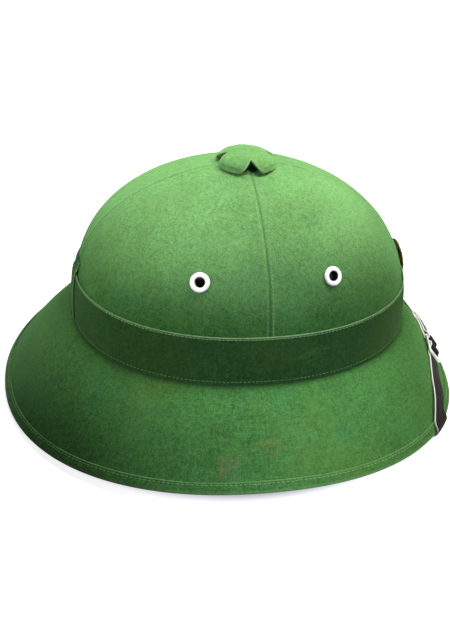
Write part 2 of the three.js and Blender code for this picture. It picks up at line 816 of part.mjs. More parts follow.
function makeRivets() {
  const headTop = -strapClearance - strapThickness - fitGap;
  const outline = [
    [0, headTop - rivetHeadThickness],
    [rivetHead / 2 - rivetHeadThickness / 2, headTop - rivetHeadThickness],
    [rivetHead / 2, headTop - rivetHeadThickness / 2],
    [rivetHead / 2, headTop],
    [rivetShank / 2, headTop],
  ];
  for (const [side, anchor] of Object.entries(anchors)) {
    const shankTop = anchor.depth + shellThickness - fitGap;
    const whole = [...outline, [rivetShank / 2, shankTop], [0, shankTop]];
    const profile = whole.map(([radius, height]) => new THREE.Vector2(radius, height));
    const rivet = facingOut(new THREE.LatheGeometry(profile, smallFacets));
    rivet.applyMatrix4(standing(anchor.at, anchor.axis));
    addPiece(`strap_rivet_${side}`, rivet, brightNickel);
  }
}

makeShell();
makeGores();
makeBrimCover();
const binding = makeBinding();
makeBand();
makeTab();
makeCap();
makeEyelets();
makeBadge();
makeShortStrap();
makeLongStrap();
makeSlide();
makeRivets();

// The origin lies under the middle of the footprint, which the binding sets
const footprint = new THREE.Box3().setFromObject(binding);
helmet.position.set(-(footprint.min.x + footprint.max.x) / 2, 0, 0);

export default helmet;
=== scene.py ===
"""Looks of a cloth-covered pith helmet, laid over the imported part.

Shapes are worked out in millimetres round the crown's axis, +X to the front, +Y to the wearer's
left and +Z up, and are turned into metres in the part's frame when a mesh is made.
"""
import math

import bmesh
import bpy
import numpy as np
from mathutils import Matrix, Vector


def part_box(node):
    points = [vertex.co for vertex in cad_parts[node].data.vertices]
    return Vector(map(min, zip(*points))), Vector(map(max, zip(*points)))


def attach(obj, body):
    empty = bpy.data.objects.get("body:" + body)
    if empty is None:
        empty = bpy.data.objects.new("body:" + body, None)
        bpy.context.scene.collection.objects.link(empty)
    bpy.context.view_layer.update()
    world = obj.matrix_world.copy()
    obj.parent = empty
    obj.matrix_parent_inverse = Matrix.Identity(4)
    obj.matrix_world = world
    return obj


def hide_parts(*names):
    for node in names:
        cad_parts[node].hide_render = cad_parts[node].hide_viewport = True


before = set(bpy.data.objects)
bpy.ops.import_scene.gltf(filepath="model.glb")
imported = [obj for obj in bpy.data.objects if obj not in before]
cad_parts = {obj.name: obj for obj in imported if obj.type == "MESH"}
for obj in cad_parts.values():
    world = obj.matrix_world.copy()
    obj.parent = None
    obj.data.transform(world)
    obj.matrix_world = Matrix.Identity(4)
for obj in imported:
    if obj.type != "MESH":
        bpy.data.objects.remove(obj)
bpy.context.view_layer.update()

# Crown, measured outside the cloth
CROWN_LENGTH = 225.6
CROWN_WIDTH = 180.2
CROWN_SQUARENESS = 2.17
CROWN_HEIGHT = 109.3
ROOF_POWER = 1.68
WALL_POWER = 2.85
CROWN_LEAN = 3
FOOT_HEIGHT = 54.4
VENT_RADIUS = 8

# Brim, from the foot of the crown to the end of the cloth
BRIM_FRONT = 42.1
BRIM_BACK = 48.9
BRIM_SIDE = 47.2
BRIM_SQUARENESS = 2.15
BRIM_DROOP = 1.37
SIDE_LIFT = 7
LEVEL_ANGLE = math.radians(8)
STRAIGHT_EDGE = 10

# Walls, clearances and the binding folded round the edge
CLOTH = 1
BOARD = 2
GAP = 0.3
SHELL_OUTSIDE = CLOTH + GAP
WALL_DEPTH = SHELL_OUTSIDE + BOARD
LAYER = GAP + CLOTH
BINDING_TOP = 6.3
BINDING_UNDER = 6
REST_INSET = 1.4

# Hat band, tab, cap, eyelets, badge
BAND_HEIGHT = 34.2
TAB_HEIGHT = 43
TAB_WIDTH = 15
CAP_RADIUS = 19.5
CAP_HEIGHT = 8.6
CAP_THICKNESS = 1.6
CAP_NOTCH_WIDTH = 16
CAP_NOTCH_HEIGHT = 7.3
EYELET_SPREAD = math.radians(29.6)
EYELET_HEIGHT = 64.5
EYELET_HOLE = 6.3
EYELET_FLANGE = 12.2
EYELET_WALL = 0.8
EYELET_RISE = 1.2
EYELET_LIP = 0.9
BADGE_DIAMETER = 24.4
BADGE_HEIGHT = 34
BADGE_THICKNESS = 1.2
BADGE_DOME = 1

# Chin strap and its slide
STRAP_WIDTH = 13
STRAP_THICKNESS = 1.1
STRAP_CLEAR = 0.5
STRAP_SETBACK = 20.1
STRAP_CROSSING = math.radians(35)
STRAP_SKEW = math.radians(3.5)
STRAP_DOUBLING = 27
ANCHOR_ANGLE = math.radians(58)
ANCHOR_REACH = 10
ANCHOR_END = 8
RIVET_HEAD = 8
RIVET_HEAD_THICKNESS = 1
RIVET_SHANK = 3
SLIDE_PLACE = 36.5
SLIDE_LENGTH = 16
SLIDE_BAR = 1.8
SLIDE_THICKNESS = 1.6
SLIDE_SIDE_BAR = 1.9
SLIDE_PLAY = 0.6
SLIDE_APPROACH = 8

QUARTER = math.pi / 2

# Share of the strap's way over the brim where it climbs the binding, and where its rows on top end
CLIMB_START = 0.66
CLIMB_END = 0.84
LAST_ON_BRIM = 0.97

# Roundness of the vent cap's wall and roof
CAP_WALL_POWER = 1.25
CAP_ROOF_POWER = 1.3

# Where the stitches run: beside a seam, in from the binding's outer edge, and off the band's borders
SEAM_STITCH_ASIDE = 1.9
BINDING_STITCH_RUN = -4.6
BAND_TOP_STITCH = 1.5
BAND_FOOT_STITCH = 2.6
TAB_STITCH_INSET = 1.6
STITCH_UNEVENNESS = 0.16


# Lines of the helmet

def round_angles(count):
    return np.linspace(0, 2 * math.pi, count, endpoint=False)


def unit(vector):
    return vector / np.linalg.norm(vector)


def way_along(points):
    """Distance along a line at each of its points."""
    return np.concatenate([[0], np.cumsum(np.linalg.norm(np.diff(points, axis=0), axis=1))])


def oval_radius(angle, half_length, half_width, squareness):
    along = np.abs(np.cos(angle) / half_length) ** squareness
    across = np.abs(np.sin(angle) / half_width) ** squareness
    return (along + across) ** (-1 / squareness)


def foot_radius(angle):
    return oval_radius(angle, CROWN_LENGTH / 2, CROWN_WIDTH / 2, CROWN_SQUARENESS)


def edge_radius(angle):
    reach = np.where(np.cos(angle) > 0, BRIM_FRONT, BRIM_BACK)
    return oval_radius(angle, CROWN_LENGTH / 2 + reach, CROWN_WIDTH / 2 + BRIM_SIDE, BRIM_SQUARENESS)


def edge_lift(angle):
    level = math.sin(LEVEL_ANGLE) ** 2
    return SIDE_LIFT * np.maximum(0, (np.sin(angle) ** 2 - level) / (1 - level))


def placed(angle, radius, height, aside=0.0):
    """Point in space of a section's point; the crown leans back a little towards its top."""
    rise = np.maximum(0, (height - FOOT_HEIGHT) / CROWN_HEIGHT)
    x = radius * np.cos(angle) - aside * np.sin(angle) - CROWN_LEAN * rise
    y = radius * np.sin(angle) + aside * np.cos(angle)
    return np.stack(np.broadcast_arrays(x, y, height), axis=-1)


def turn_at_height(height):
    return np.arcsin((np.asarray(height) / CROWN_HEIGHT) ** (WALL_POWER / 2))


def crown_line(angle, turn, raised=0.0):
    """Distance from the axis and height of the crown's cloth, raised off it."""
    foot = foot_radius(angle)
    radius = foot * np.cos(turn) ** (2 / ROOF_POWER)
    height = CROWN_HEIGHT * np.sin(turn) ** (2 / WALL_POWER)
    out = ROOF_POWER * (radius / foot) ** (ROOF_POWER - 1) / foot
    up = WALL_POWER * (height / CROWN_HEIGHT) ** (WALL_POWER - 1) / CROWN_HEIGHT
    size = np.hypot(out, up)
    return radius + raised * out / size, FOOT_HEIGHT + height + raised * up / size


def crown_point(angle, height, raised=0.0, aside=0.0):
    radius, level = crown_line(angle, turn_at_height(height), raised)
    return placed(angle, radius, level, aside)


def brim_frame(angle):
    """Foot, bend and edge of the brim's section, with the direction down its straight edge."""
    foot = foot_radius(angle)
    radius = edge_radius(angle)
    lift = edge_lift(angle)
    slope = np.arctan(BRIM_DROOP * (FOOT_HEIGHT - lift) / (radius - foot))
    rest_depth = WALL_DEPTH + LAYER - REST_INSET
    edge_height = lift + LAYER * np.sin(slope) + rest_depth * np.cos(slope)
    bend_radius = radius - STRAIGHT_EDGE * np.cos(slope)
    bend_height = edge_height + STRAIGHT_EDGE * np.sin(slope)
    run = bend_radius - foot
    drop = FOOT_HEIGHT - bend_height
    power = np.tan(slope) * run / drop
    return foot, radius, edge_height, slope, run, drop, power


def brim_line(angle, share, raised=0.0):
    """Share runs from 0 at the foot to 1 at the bend and 2 at the edge of the cloth."""
    foot, radius, edge_height, slope, run, drop, power = brim_frame(angle)
    curved = np.clip(share, 0, 1)
    beyond = np.clip(share, 1, None) - 1
    on_curve = power * drop / run * np.maximum(curved, 1e-6) ** (power - 1)
    steepness = np.where(share > 1, np.tan(slope), on_curve)
    size = np.hypot(steepness, 1)
    x = foot + run * curved + STRAIGHT_EDGE * np.cos(slope) * beyond
    z = FOOT_HEIGHT - drop * curved ** power - STRAIGHT_EDGE * np.sin(slope) * beyond
    return x + raised * steepness / size, z + raised / size


def brim_share(angle, radius):
    foot, edge, edge_height, slope, run, drop, power = brim_frame(angle)
    share = (radius - foot) / run
    return np.where(share > 1, 1 + (radius - foot - run) / (STRAIGHT_EDGE * np.cos(slope)), share)


def brim_point(angle, radius, raised=0.0):
    x, z = brim_line(angle, brim_share(angle, radius), raised)
    return placed(angle, x, z)


def edge_point(angle, run, rise, aside=0.0):
    """Point given along the brim's slope and off it, from the end of the cloth."""
    foot, radius, edge_height, slope, *rest = brim_frame(angle)
    x = radius + run * np.cos(slope) + rise * np.sin(slope)
    z = edge_height - run * np.sin(slope) + rise * np.cos(slope)
    return placed(angle, x, z, aside)


def rest_run(angle):
    slope = brim_frame(angle)[3]
    return LAYER - REST_INSET / np.tan(slope)


def binding_face(angle, raised=0.0):
    """Corners of the binding's outer face, from its top leg round to its under leg."""
    under = WALL_DEPTH + LAYER
    bevel = 0.8
    end = rest_run(angle)
    corners = np.array([
        [-BINDING_TOP, LAYER],
        [LAYER - bevel, LAYER],
        [LAYER, LAYER - bevel],
        [LAYER, REST_INSET - under],
        [end, -under],
        [-BINDING_UNDER, -under],
    ])
    return offset_line(corners, raised)


def offset_line(points, distance):
    """Points of a line moved to its left by a distance, with mitred corners."""
    steps = np.diff(points, axis=-2)
    normals = np.stack([-steps[..., 1], steps[..., 0]], axis=-1)
    normals /= np.linalg.norm(normals, axis=-1, keepdims=True)
    before = np.concatenate([normals[..., :1, :], normals], axis=-2)
    after = np.concatenate([normals, normals[..., -1:, :]], axis=-2)
    mitre = before + after
    mitre /= np.linalg.norm(mitre, axis=-1, keepdims=True)
    return points + mitre * (distance / np.sum(mitre * before, axis=-1, keepdims=True))


edge_reach = [float(edge_point(a, *binding_face(a)[i])[0]) for a, i in ((0.0, 3), (math.pi, 3))]
CROWN_PLACE = -(edge_reach[0] + edge_reach[1]) / 2


def in_metres(points):
    points = np.asarray(points, dtype=float)
    return (points + np.array([CROWN_PLACE, 0, 0])) * 0.001


# Meshes

def tidy_mesh(mesh, sharp=50):
    """Merges doubled points, turns the faces outwards and shades them smooth up to an angle."""
    work = bmesh.new()
    work.from_mesh(mesh)
    bmesh.ops.remove_doubles(work, verts=work.verts, dist=2e-6)
    loose = [edge for edge in work.edges if not edge.link_faces]
    bmesh.ops.delete(work, geom=loose, context="EDGES")
    bmesh.ops.recalc_face_normals(work, faces=work.faces)
    work.to_mesh(mesh)
    work.free()
    mesh.polygons.foreach_set("use_smooth", [True] * len(mesh.polygons))
    mesh.set_sharp_from_angle(angle=math.radians(sharp))


def set_marks(mesh, marks):
    """Named point attributes, which the finishes read."""
    for name, values in marks.items():
        mesh.attributes.new(name, "FLOAT", "POINT").data.foreach_set("value", np.ravel(values).astype(float))


def mesh_piece(name, vertices, faces, finish, corners=None, marks=None, sharp=50):
    """Mesh object from points in millimetres, with a UV map in metres and named point attributes."""
    mesh = bpy.data.meshes.new(name)
    mesh.from_pydata(in_metres(vertices).tolist(), [], faces)
    if corners:
        layer = mesh.uv_layers.new(name="cloth")
        layer.data.foreach_set("uv", (np.asarray(corners, dtype=float) * 0.001).ravel())
    set_marks(mesh, marks or {})
    tidy_mesh(mesh, sharp)
    mesh.materials.append(finish)
    piece = bpy.data.objects.new(name, mesh)
    bpy.context.scene.collection.objects.link(piece)
    return piece


def loft(name, rings, finish, around=False, marks=None, sharp=50):
    """Closed body through rings of points, with a UV that measures along and round them.

    Each ring is a closed line whose point i lies opposite its point -1-i, such as the outer face of
    a sheet in one direction and its inner face in the other. An open loft is capped between them.
    """
    rings = np.asarray(rings, dtype=float)
    count, across = rings.shape[:2]
    coords = loft_coords(rings, around)
    faces, corners = [], []

    def add(*places):
        faces.append([(row % count) * across + column % across for row, column in places])
        corners.extend(coords[row, column] for row, column in places)

    for row in range(count if around else count - 1):
        for column in range(across):
            add((row, column), (row + 1, column), (row + 1, column + 1), (row, column + 1))
    for row in () if around else (0, count - 1):
        for column in range(across // 2 - 1):
            opposite = across - 1 - column
            places = [(row, column), (row, column + 1), (row, opposite - 1), (row, opposite)]
            add(*(places if row == 0 else places[::-1]))
    return mesh_piece(name, rings.reshape(-1, 3), faces, finish, corners, marks, sharp)


def loft_coords(rings, around):
    """Measures in millimetres along the rings' middles, and round each ring from its start."""
    closed = np.concatenate([rings, rings[:, :1]], axis=1)
    round_ring = np.linalg.norm(np.diff(closed, axis=1), axis=2)
    round_ring = np.concatenate([np.zeros((len(rings), 1)), np.cumsum(round_ring, axis=1)], axis=1)
    starts = rings[:, 0]
    if around:
        round_ring = np.concatenate([round_ring, round_ring[:1]])
        starts = np.concatenate([starts, starts[:1]])
    length = way_along(starts)
    return np.stack([np.broadcast_to(length[:, None], round_ring.shape), round_ring], axis=-1)


def lathe(name, outline, at, axis, finish, sides=48, sharp=40):
    """Closed body of revolution of (radius, height) points, on a point and along an axis."""
    turn = np.array(Vector((0, 0, 1)).rotation_difference(Vector(axis)).to_matrix())
    angles = round_angles(sides)[:, None]
    radius, height = np.array(outline, dtype=float).T
    rings = np.stack(np.broadcast_arrays(radius * np.cos(angles), radius * np.sin(angles), height), axis=-1)
    return loft(name, rings @ turn.T + np.asarray(at), finish, around=True, sharp=sharp)


def rounded(points, cut, steps=4):
    """Open line with its inner corners rounded off, at most cut from each corner."""
    points = np.asarray(points, dtype=float)
    out = [points[0]]
    for before, corner, after in zip(points[:-2], points[1:-1], points[2:]):
        back, onward = before - corner, after - corner
        near = min(cut, np.linalg.norm(back) / 2.2, np.linalg.norm(onward) / 2.2)
        start = corner + unit(back) * near
        end = corner + unit(onward) * near
        for share in np.linspace(0, 1, steps + 1):
            out.append((1 - share) ** 2 * start + 2 * share * (1 - share) * corner + share ** 2 * end)
    out.append(points[-1])
    return np.array(out)


def sheet_ring(line, thickness, rounding=4):
    """Closed ring round an open line, a sheet of that thickness with rounded borders."""
    line = np.asarray(line, dtype=float)
    turns = np.linspace(0, QUARTER, rounding + 1)
    reach = thickness / 2 * (1 - np.cos(turns))[:, None]
    swell = thickness / 2 * np.sin(turns)
    first = line[0] + unit(line[1] - line[0]) * reach
    last = line[-1] + unit(line[-2] - line[-1]) * reach
    clear = 0.55 * thickness
    ends = (line[0], line[-1])
    body = [point for point in line if min(np.linalg.norm(point - end) for end in ends) > clear]
    middle = np.concatenate([first, body, last[::-1]])
    half = np.concatenate([swell, np.full(len(body), thickness / 2), swell[::-1]])[:, None]
    return np.concatenate([offset_line(middle, half), offset_line(middle, -half)[::-1]])


def bell(distance, width):
    return np.exp(-(np.asarray(distance) / width) ** 2)


def ripple(angle, seed, counts, phase=0.0):
    """Gentle unevenness round the helmet, between about -1 and 1, the same in every run."""
    chance = np.random.default_rng(seed)
    total = 0.0
    for count in counts:
        drift = phase * chance.uniform(0.5, 1.5)
        total = total + np.sin(count * angle + drift + chance.uniform(0, 2 * math.pi))
    return total / len(counts)


def holes_through(piece, seats, length):
    """Cuts round holes through a piece, each given by a point, an axis and a radius."""
    for at, axis, radius in seats:
        outline = [[0, -length / 2], [radius, -length / 2], [radius, length / 2], [0, length / 2]]
        bit = lathe("hole_cutter", outline, at, axis, None, sides=40)
        bit.data.materials.clear()
        cut = piece.modifiers.new("hole", "BOOLEAN")
        cut.object = bit
        cut.solver = "EXACT"
        piece.data = plain_mesh(piece)
        piece.modifiers.clear()
        cutter = bit.data
        bpy.data.objects.remove(bit)
        bpy.data.meshes.remove(cutter)


def vertex_places(piece):
    places = np.empty(len(piece.data.vertices) * 3)
    piece.data.vertices.foreach_get("co", places)
    return places.reshape(-1, 3)


def set_cloth_map(piece, across, along):
    """Gives the piece's UV map two measures that are known for each vertex."""
    corners = np.empty(len(piece.data.loops), dtype=int)
    piece.data.loops.foreach_get("vertex_index", corners)
    places = np.stack([across[corners], along[corners]], axis=1)
    piece.data.uv_layers["cloth"].data.foreach_set("uv", places.ravel())


def plain_mesh(piece):
    """The piece's mesh with its modifiers applied."""
    shown = piece.evaluated_get(bpy.context.evaluated_depsgraph_get())
    return bpy.data.meshes.new_from_object(shown)


# Cloth of the crown

EYELET_ANGLES = {
    "right_rear": -QUARTER - EYELET_SPREAD,
    "right_front": -QUARTER + EYELET_SPREAD,
    "left_rear": QUARTER + EYELET_SPREAD,
    "left_front": QUARTER - EYELET_SPREAD,
}
EYELET_BARREL = EYELET_HOLE / 2 + EYELET_WALL


def crown_normal(angle, height, reach):
    """Outward normal of the crown over a patch round a point."""
    turn = reach / foot_radius(angle)
    aside = crown_point(angle + turn, height) - crown_point(angle - turn, height)
    upward = crown_point(angle, height + reach) - crown_point(angle, height - reach)
    return unit(np.cross(aside, upward))


def eyelet_seat(angle):
    return (crown_point(angle, EYELET_HEIGHT), crown_normal(angle, EYELET_HEIGHT, EYELET_FLANGE / 2),
            EYELET_BARREL + GAP)


def even_turns(count):
    """Turns of the crown's section from the foot up to the vent, evenly spaced along it."""
    angle = QUARTER / 2
    vent = math.acos((VENT_RADIUS / foot_radius(angle)) ** (ROOF_POWER / 2))
    turns = np.linspace(0, vent, 2000)
    line = np.stack(crown_line(angle, turns), axis=1)
    length = way_along(line)
    return np.interp(np.linspace(0, length[-1], count), length, turns)


def seam_relief(distance, along):
    """Rise of the cloth beside a seam: a narrow groove, a low welt and small puckers of the sewing."""
    pucker = 0.5 + 0.5 * np.sin(along * 2 * math.pi / 5.2 + 0.9 * np.sin(along / 7))
    welt = 0.28 * bell(distance - 2.2, 1.5) * (0.75 + 0.25 * pucker)
    return welt - 0.45 * bell(distance, 0.5)


def crown_gores(finish):
    """Four gores sewn together along the front, back and side seams."""
    share = np.concatenate([np.array([0, 0.2, 0.45, 0.8, 1.2, 1.7, 2.3, 3, 4, 5.5, 7.5, 10]) / 172,
                            np.linspace(0.085, 0.5, 22)])
    share = np.concatenate([share, 1 - share[-2::-1]])
    turns = even_turns(110)
    pieces = []
    for quarter, name in enumerate(("left_front", "left_rear", "right_rear", "right_front")):
        angle = (quarter + share)[:, None] * QUARTER
        radius = crown_line(angle, turns)[0]
        nearest = np.minimum(share, 1 - share)[:, None] * QUARTER * radius
        height = CROWN_HEIGHT * np.sin(turns) ** (2 / WALL_POWER) + 0 * angle
        along = np.cumsum(np.hypot(np.gradient(radius, axis=1), np.gradient(height, axis=1)), axis=1)
        fade = np.clip(radius / 20, 0, 1)
        soft = 0.18 * np.sin(along / 31 + 5 * share[:, None]) * np.sin(share[:, None] * math.pi)
        relief = seam_relief(nearest, along) * fade + soft
        aside = np.where(share < 0.5, 1, -1)[:, None] * GAP / 3 * bell(nearest, 1)
        outer = placed(angle, *crown_line(angle, turns, relief), aside)
        inner = placed(angle, *crown_line(angle, turns, -CLOTH), aside)
        outer[:, 0, 2] += GAP
        inner[:, 0, 2] = FOOT_HEIGHT + GAP
        rings = np.concatenate([outer, inner[:, ::-1]], axis=1)
        ring_worn = np.concatenate([0.15 * bell(nearest - 1.4, 0.8) * fade, 0 * nearest], axis=1)
        piece = loft(f"gore_{name}", rings, finish, marks={"wear_and_fold_highlight": ring_worn})
        lay_grain(piece, (quarter + 0.5) * QUARTER)
        seat = eyelet_seat(EYELET_ANGLES[name])
        holes_through(piece, [seat], 12)
        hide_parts(f"crown_gore_{name}")
        pieces.append(piece)
    return pieces


def lay_grain(piece, facing):
    """Lays the UV of a gore as its flat cloth: across its middle line and along the height of it."""
    places = vertex_places(piece) - np.array([CROWN_PLACE * 0.001, 0, 0])
    across = places[:, 1] * math.cos(facing) - places[:, 0] * math.sin(facing)
    outward = places[:, 0] * math.cos(facing) + places[:, 1] * math.sin(facing)
    rise = np.arctan2(places[:, 2] - FOOT_HEIGHT * 0.001, outward) * 0.1
    set_cloth_map(piece, across, rise)


# Brim

def brim_cloth(finish):
    angles = round_angles(288)[:, None]
    shares = np.concatenate([np.linspace(0, 1, 40), np.linspace(1.08, 2, 9)])
    waves = 0.22 * ripple(angles, 5, (3, 5, 8), shares * 3) * np.sin(np.clip(shares, 0, 1) * math.pi) ** 0.7
    outer = placed(angles, *brim_line(angles, shares, waves))
    inner = placed(angles, *brim_line(angles, shares, -CLOTH))
    rings = np.concatenate([outer, inner[:, ::-1]], axis=1)
    # Painted shade: the brim is painted darker in a narrow strip just outside the band, standing in for the
    # shade at the band's foot.
    painted_foot_shade = np.concatenate([bell(shares * 48, 3.4), np.zeros(len(shares))]) + np.zeros(rings.shape[:2])
    piece = loft("brim_cloth", rings, finish, around=True, marks={"painted_foot_shade": painted_foot_shade})
    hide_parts("brim_cover")
    return piece


def edge_binding(finish):
    """Strip of cloth folded round the edge, with its raw border turned in along the top."""
    angles = round_angles(432)
    rings, wear_and_fold_highlight = [], []
    under = WALL_DEPTH + LAYER
    middle = LAYER - CLOTH / 2
    for angle in angles:
        puff = 0.10 * math.sin(angle * 156) + 0.10 * math.sin(angle * 23 + 1)
        end = rest_run(angle)
        line = [
            [-BINDING_TOP + 0.15 * math.sin(angle * 9), middle],
            [BINDING_STITCH_RUN, middle - 0.12 + 0.05 * puff],
            [-2.4, middle + 0.1 + 0.6 * puff],
            [middle, middle],
            [middle, REST_INSET - under + CLOTH / 2],
            [end - 0.25, -under + CLOTH / 2],
            [-BINDING_UNDER, -under + CLOTH / 2],
        ]
        ring = sheet_ring(rounded(line, 0.9), CLOTH)
        rings.append(edge_point(angle, ring[:, 0], ring[:, 1]))
        on_fold = bell(ring[:, 0] - 0.9, 1.0) * (ring[:, 1] > -1.5)
        wear_and_fold_highlight.append(on_fold + 0.5 * bell(ring[:, 0] + BINDING_TOP, 0.6))
    piece = loft("edge_binding_cloth", rings, finish, around=True, marks={"wear_and_fold_highlight": np.array(wear_and_fold_highlight)})
    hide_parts("edge_binding")
    return piece


# Hat band and tab

BAND_CREASES = [
    # angle and height of the middle, half length, half width, tilt and depth of each crease
    {"angle": -75, "height": 17.5, "length": 12, "width": 2.8, "tilt": 16, "depth": 1.5},
    {"angle": -72, "height": 12.6, "length": 14, "width": 2.2, "tilt": 18, "depth": -0.9},
    {"angle": -80, "height": 5, "length": 7, "width": 3.0, "tilt": 35, "depth": 0.8},
    {"angle": -55, "height": 9, "length": 9, "width": 2.0, "tilt": 20, "depth": 0.5},
    {"angle": -118, "height": 20, "length": 12, "width": 2.4, "tilt": -20, "depth": -0.22},
    {"angle": 40, "height": 15, "length": 14, "width": 2.8, "tilt": 24, "depth": -0.4},
    {"angle": 128, "height": 19, "length": 12, "width": 2.4, "tilt": -28, "depth": -0.35},
]


def band_relief(angle, height):
    """Soft hand-worked unevenness of the band, with a few creases."""
    relief = 0.12 * ripple(angle, 11, (7, 12, 19), height * 0.12) * np.sin(math.pi * height / BAND_HEIGHT)
    for crease in BAND_CREASES:
        centre = math.radians(crease["angle"])
        apart = (angle - centre + math.pi) % (2 * math.pi) - math.pi
        across = apart * foot_radius(centre)
        up = height - crease["height"]
        tilt = math.radians(crease["tilt"])
        along = across * math.cos(tilt) + up * math.sin(tilt)
        aside = up * math.cos(tilt) - across * math.sin(tilt)
        relief = relief + crease["depth"] * bell(along, crease["length"]) * bell(aside, crease["width"])
    return relief


def hat_band(finish):
    """Wide cloth band round the foot of the crown, its borders folded in and stitched down."""
    angles = round_angles(480)[:, None]
    heights = [np.linspace(GAP, 3.4, 8), np.linspace(4.2, 30.6, 26), np.linspace(31.2, BAND_HEIGHT, 9)]
    heights = np.concatenate(heights)
    line = np.stack([heights, np.full(len(heights), -GAP - CLOTH / 2)], axis=1)
    ring = sheet_ring(line, CLOTH)
    height, raised = ring[:, 0], -ring[:, 1]
    outer = raised > GAP + CLOTH / 2
    folds = 0.16 * bell(height - BAND_HEIGHT, 1.3) - 0.18 * bell(height - 32.6, 0.55)
    folds = folds + 0.16 * bell(height, 1.6) - 0.18 * bell(height - 2.6, 0.6)
    relief = (band_relief(angles, height) + folds) * outer * (raised > GAP + 0.75 * CLOTH)
    relief = np.maximum(relief, -0.8)
    turn = turn_at_height(np.clip(height, 0, None))
    rings = placed(angles, *crown_line(angles, turn, raised + relief))
    rings[..., 2] = np.maximum(rings[..., 2], FOOT_HEIGHT + GAP)
    # Lighter along the band's folded top edge: wear and a painted highlight where the fold catches the light.
    wear_and_fold_highlight = bell(height - BAND_HEIGHT + 0.3, 0.7) * outer + np.zeros_like(angles)
    piece = loft("hat_band_cloth", rings, finish, around=True, marks={"wear_and_fold_highlight": wear_and_fold_highlight})
    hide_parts("hat_band")
    return piece


def band_tab(finish):
    """Cloth tab over the join of the band at the back."""
    half_angle = math.atan(TAB_WIDTH / 2 / foot_radius(math.pi))
    side = np.sin(np.linspace(-QUARTER, QUARTER, 21))
    on_band = LAYER + GAP
    line = [
        [GAP, on_band],
        [BAND_HEIGHT - 2, on_band],
        [BAND_HEIGHT + CLOTH, on_band],
        [BAND_HEIGHT + 4 * CLOTH, GAP],
        [TAB_HEIGHT, GAP],
    ]
    line = rounded(line, 1.6)
    steps = np.linspace(0, len(line) - 1, 60)
    fine, rise = (np.interp(steps, np.arange(len(line)), line[:, axis]) for axis in (0, 1))
    rings = []
    for place in side:
        ease = 1 - 0.5 * bell(1 - abs(place), 0.06)
        ring = sheet_ring(np.stack([fine, -(rise + CLOTH / 2)], axis=1), CLOTH * ease)
        angle = math.pi + place * half_angle
        height, raised = np.clip(ring[:, 0], 0, None), -ring[:, 1]
        rings.append(placed(angle, *crown_line(angle, turn_at_height(height), raised)))
    wear_and_fold_highlight = bell(1 - np.abs(side), 0.12)[:, None] + np.zeros((1, len(rings[0])))
    piece = loft("band_tab_cloth", rings, finish, marks={"wear_and_fold_highlight": wear_and_fold_highlight})
    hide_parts("band_tab")
    return piece


# Vent cap

def crown_fall(radius, angle):
    share = radius / foot_radius(angle)
    return CROWN_HEIGHT * (1 - (1 - share ** ROOF_POWER) ** (1 / WALL_POWER))


def vent_cap(finish):
    """Low dome with an arched notch over each of the four seams and a folded rim."""
    rim_height = FOOT_HEIGHT + CROWN_HEIGHT - crown_fall(CAP_RADIUS, 0.0) + 2 * GAP
    notch_turn = math.asin(CAP_NOTCH_WIDTH / 2 / CAP_RADIUS)
    rings, wear_and_fold_highlight = [], []
    for angle in round_angles(240):
        from_notch = abs(angle - round(angle / QUARTER) * QUARTER)
        open_share = min(from_notch / notch_turn, 1)
        arch = (0.5 + 0.5 * math.cos(math.pi * open_share)) ** 0.85
        level = CAP_NOTCH_HEIGHT / CAP_HEIGHT * arch
        last = math.acos(min(level, 1) ** CAP_ROOF_POWER)
        turns = np.linspace(0, last, 34)
        radius = CAP_RADIUS * np.sin(turns) ** (1 / CAP_WALL_POWER)
        height = rim_height + CAP_HEIGHT * np.cos(turns) ** (1 / CAP_ROOF_POWER)
        line = np.stack([radius, height], axis=1)
        inside = offset_line(line, -CAP_THICKNESS / 2)
        inside[0, 0] = 0
        to_rim = way_along(inside)
        to_rim = to_rim[-1] - to_rim
        half = CAP_THICKNESS / 2 * np.sqrt(1 - np.clip(1 - to_rim / (CAP_THICKNESS / 2), 0, 1) ** 2)
        hem = 0.18 * bell(to_rim - 1.0, 0.8) - 0.14 * bell(to_rim - 2.6, 0.5)
        outer = offset_line(inside, (half + hem)[:, None])
        inner = offset_line(inside, -half[:, None])
        outer[0, 0] = inner[0, 0] = 0
        section = np.concatenate([outer, inner[::-1]])
        x = section[:, 0] * math.cos(angle) - CROWN_LEAN
        y = section[:, 0] * math.sin(angle)
        rings.append(np.stack([x, y, section[:, 1]], axis=1))
        # Lighter along the folded rim: wear and a painted highlight on the fold.
        wear_and_fold_highlight.append(np.concatenate([bell(to_rim - 0.8, 0.8), 0 * to_rim]))
    piece = loft("vent_cap_cloth", rings, finish, around=True, marks={"wear_and_fold_highlight": np.array(wear_and_fold_highlight)})
    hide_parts("vent_cap")
    return piece


# Eyelets and badge

def eyelets(finish):
    inward = WALL_DEPTH + 2 * GAP
    seat = 1.5 * GAP
    flange, hole, lip = EYELET_FLANGE / 2, EYELET_HOLE / 2, EYELET_BARREL + EYELET_LIP
    top = seat + EYELET_RISE
    outline = [
        [hole, -inward - EYELET_LIP],
        [lip, -inward - EYELET_LIP],
        [lip, -inward],
        [EYELET_BARREL, -inward],
        [EYELET_BARREL, seat],
        [flange, seat],
        [flange - 0.15, seat + 0.55 * EYELET_RISE],
        [flange - 0.9, top - 0.05],
        [hole + 0.5, top],
        [hole + 0.1, top - 0.25],
        [hole, top - 0.6],
        [hole, -inward - EYELET_LIP],
    ]
    for name, angle in EYELET_ANGLES.items():
        at, axis, _ = eyelet_seat(angle)
        piece = lathe(f"eyelet_ring_{name}", rounded(outline, 0.25, 3), at, axis, finish, sides=56)
        spots = (vertex_places(piece) - in_metres(at)) * 1000
        lift = spots @ axis
        away = np.sqrt(np.maximum((spots ** 2).sum(axis=1) - lift ** 2, 0))
        # Points inside the barrel, which the finish paints near-black: painted shade in the hole.
        inside = (away < hole + 0.2) & (lift < top - 0.5)
        set_marks(piece.data, {"inside": inside})
        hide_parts(f"eyelet_{name}")
        yield piece


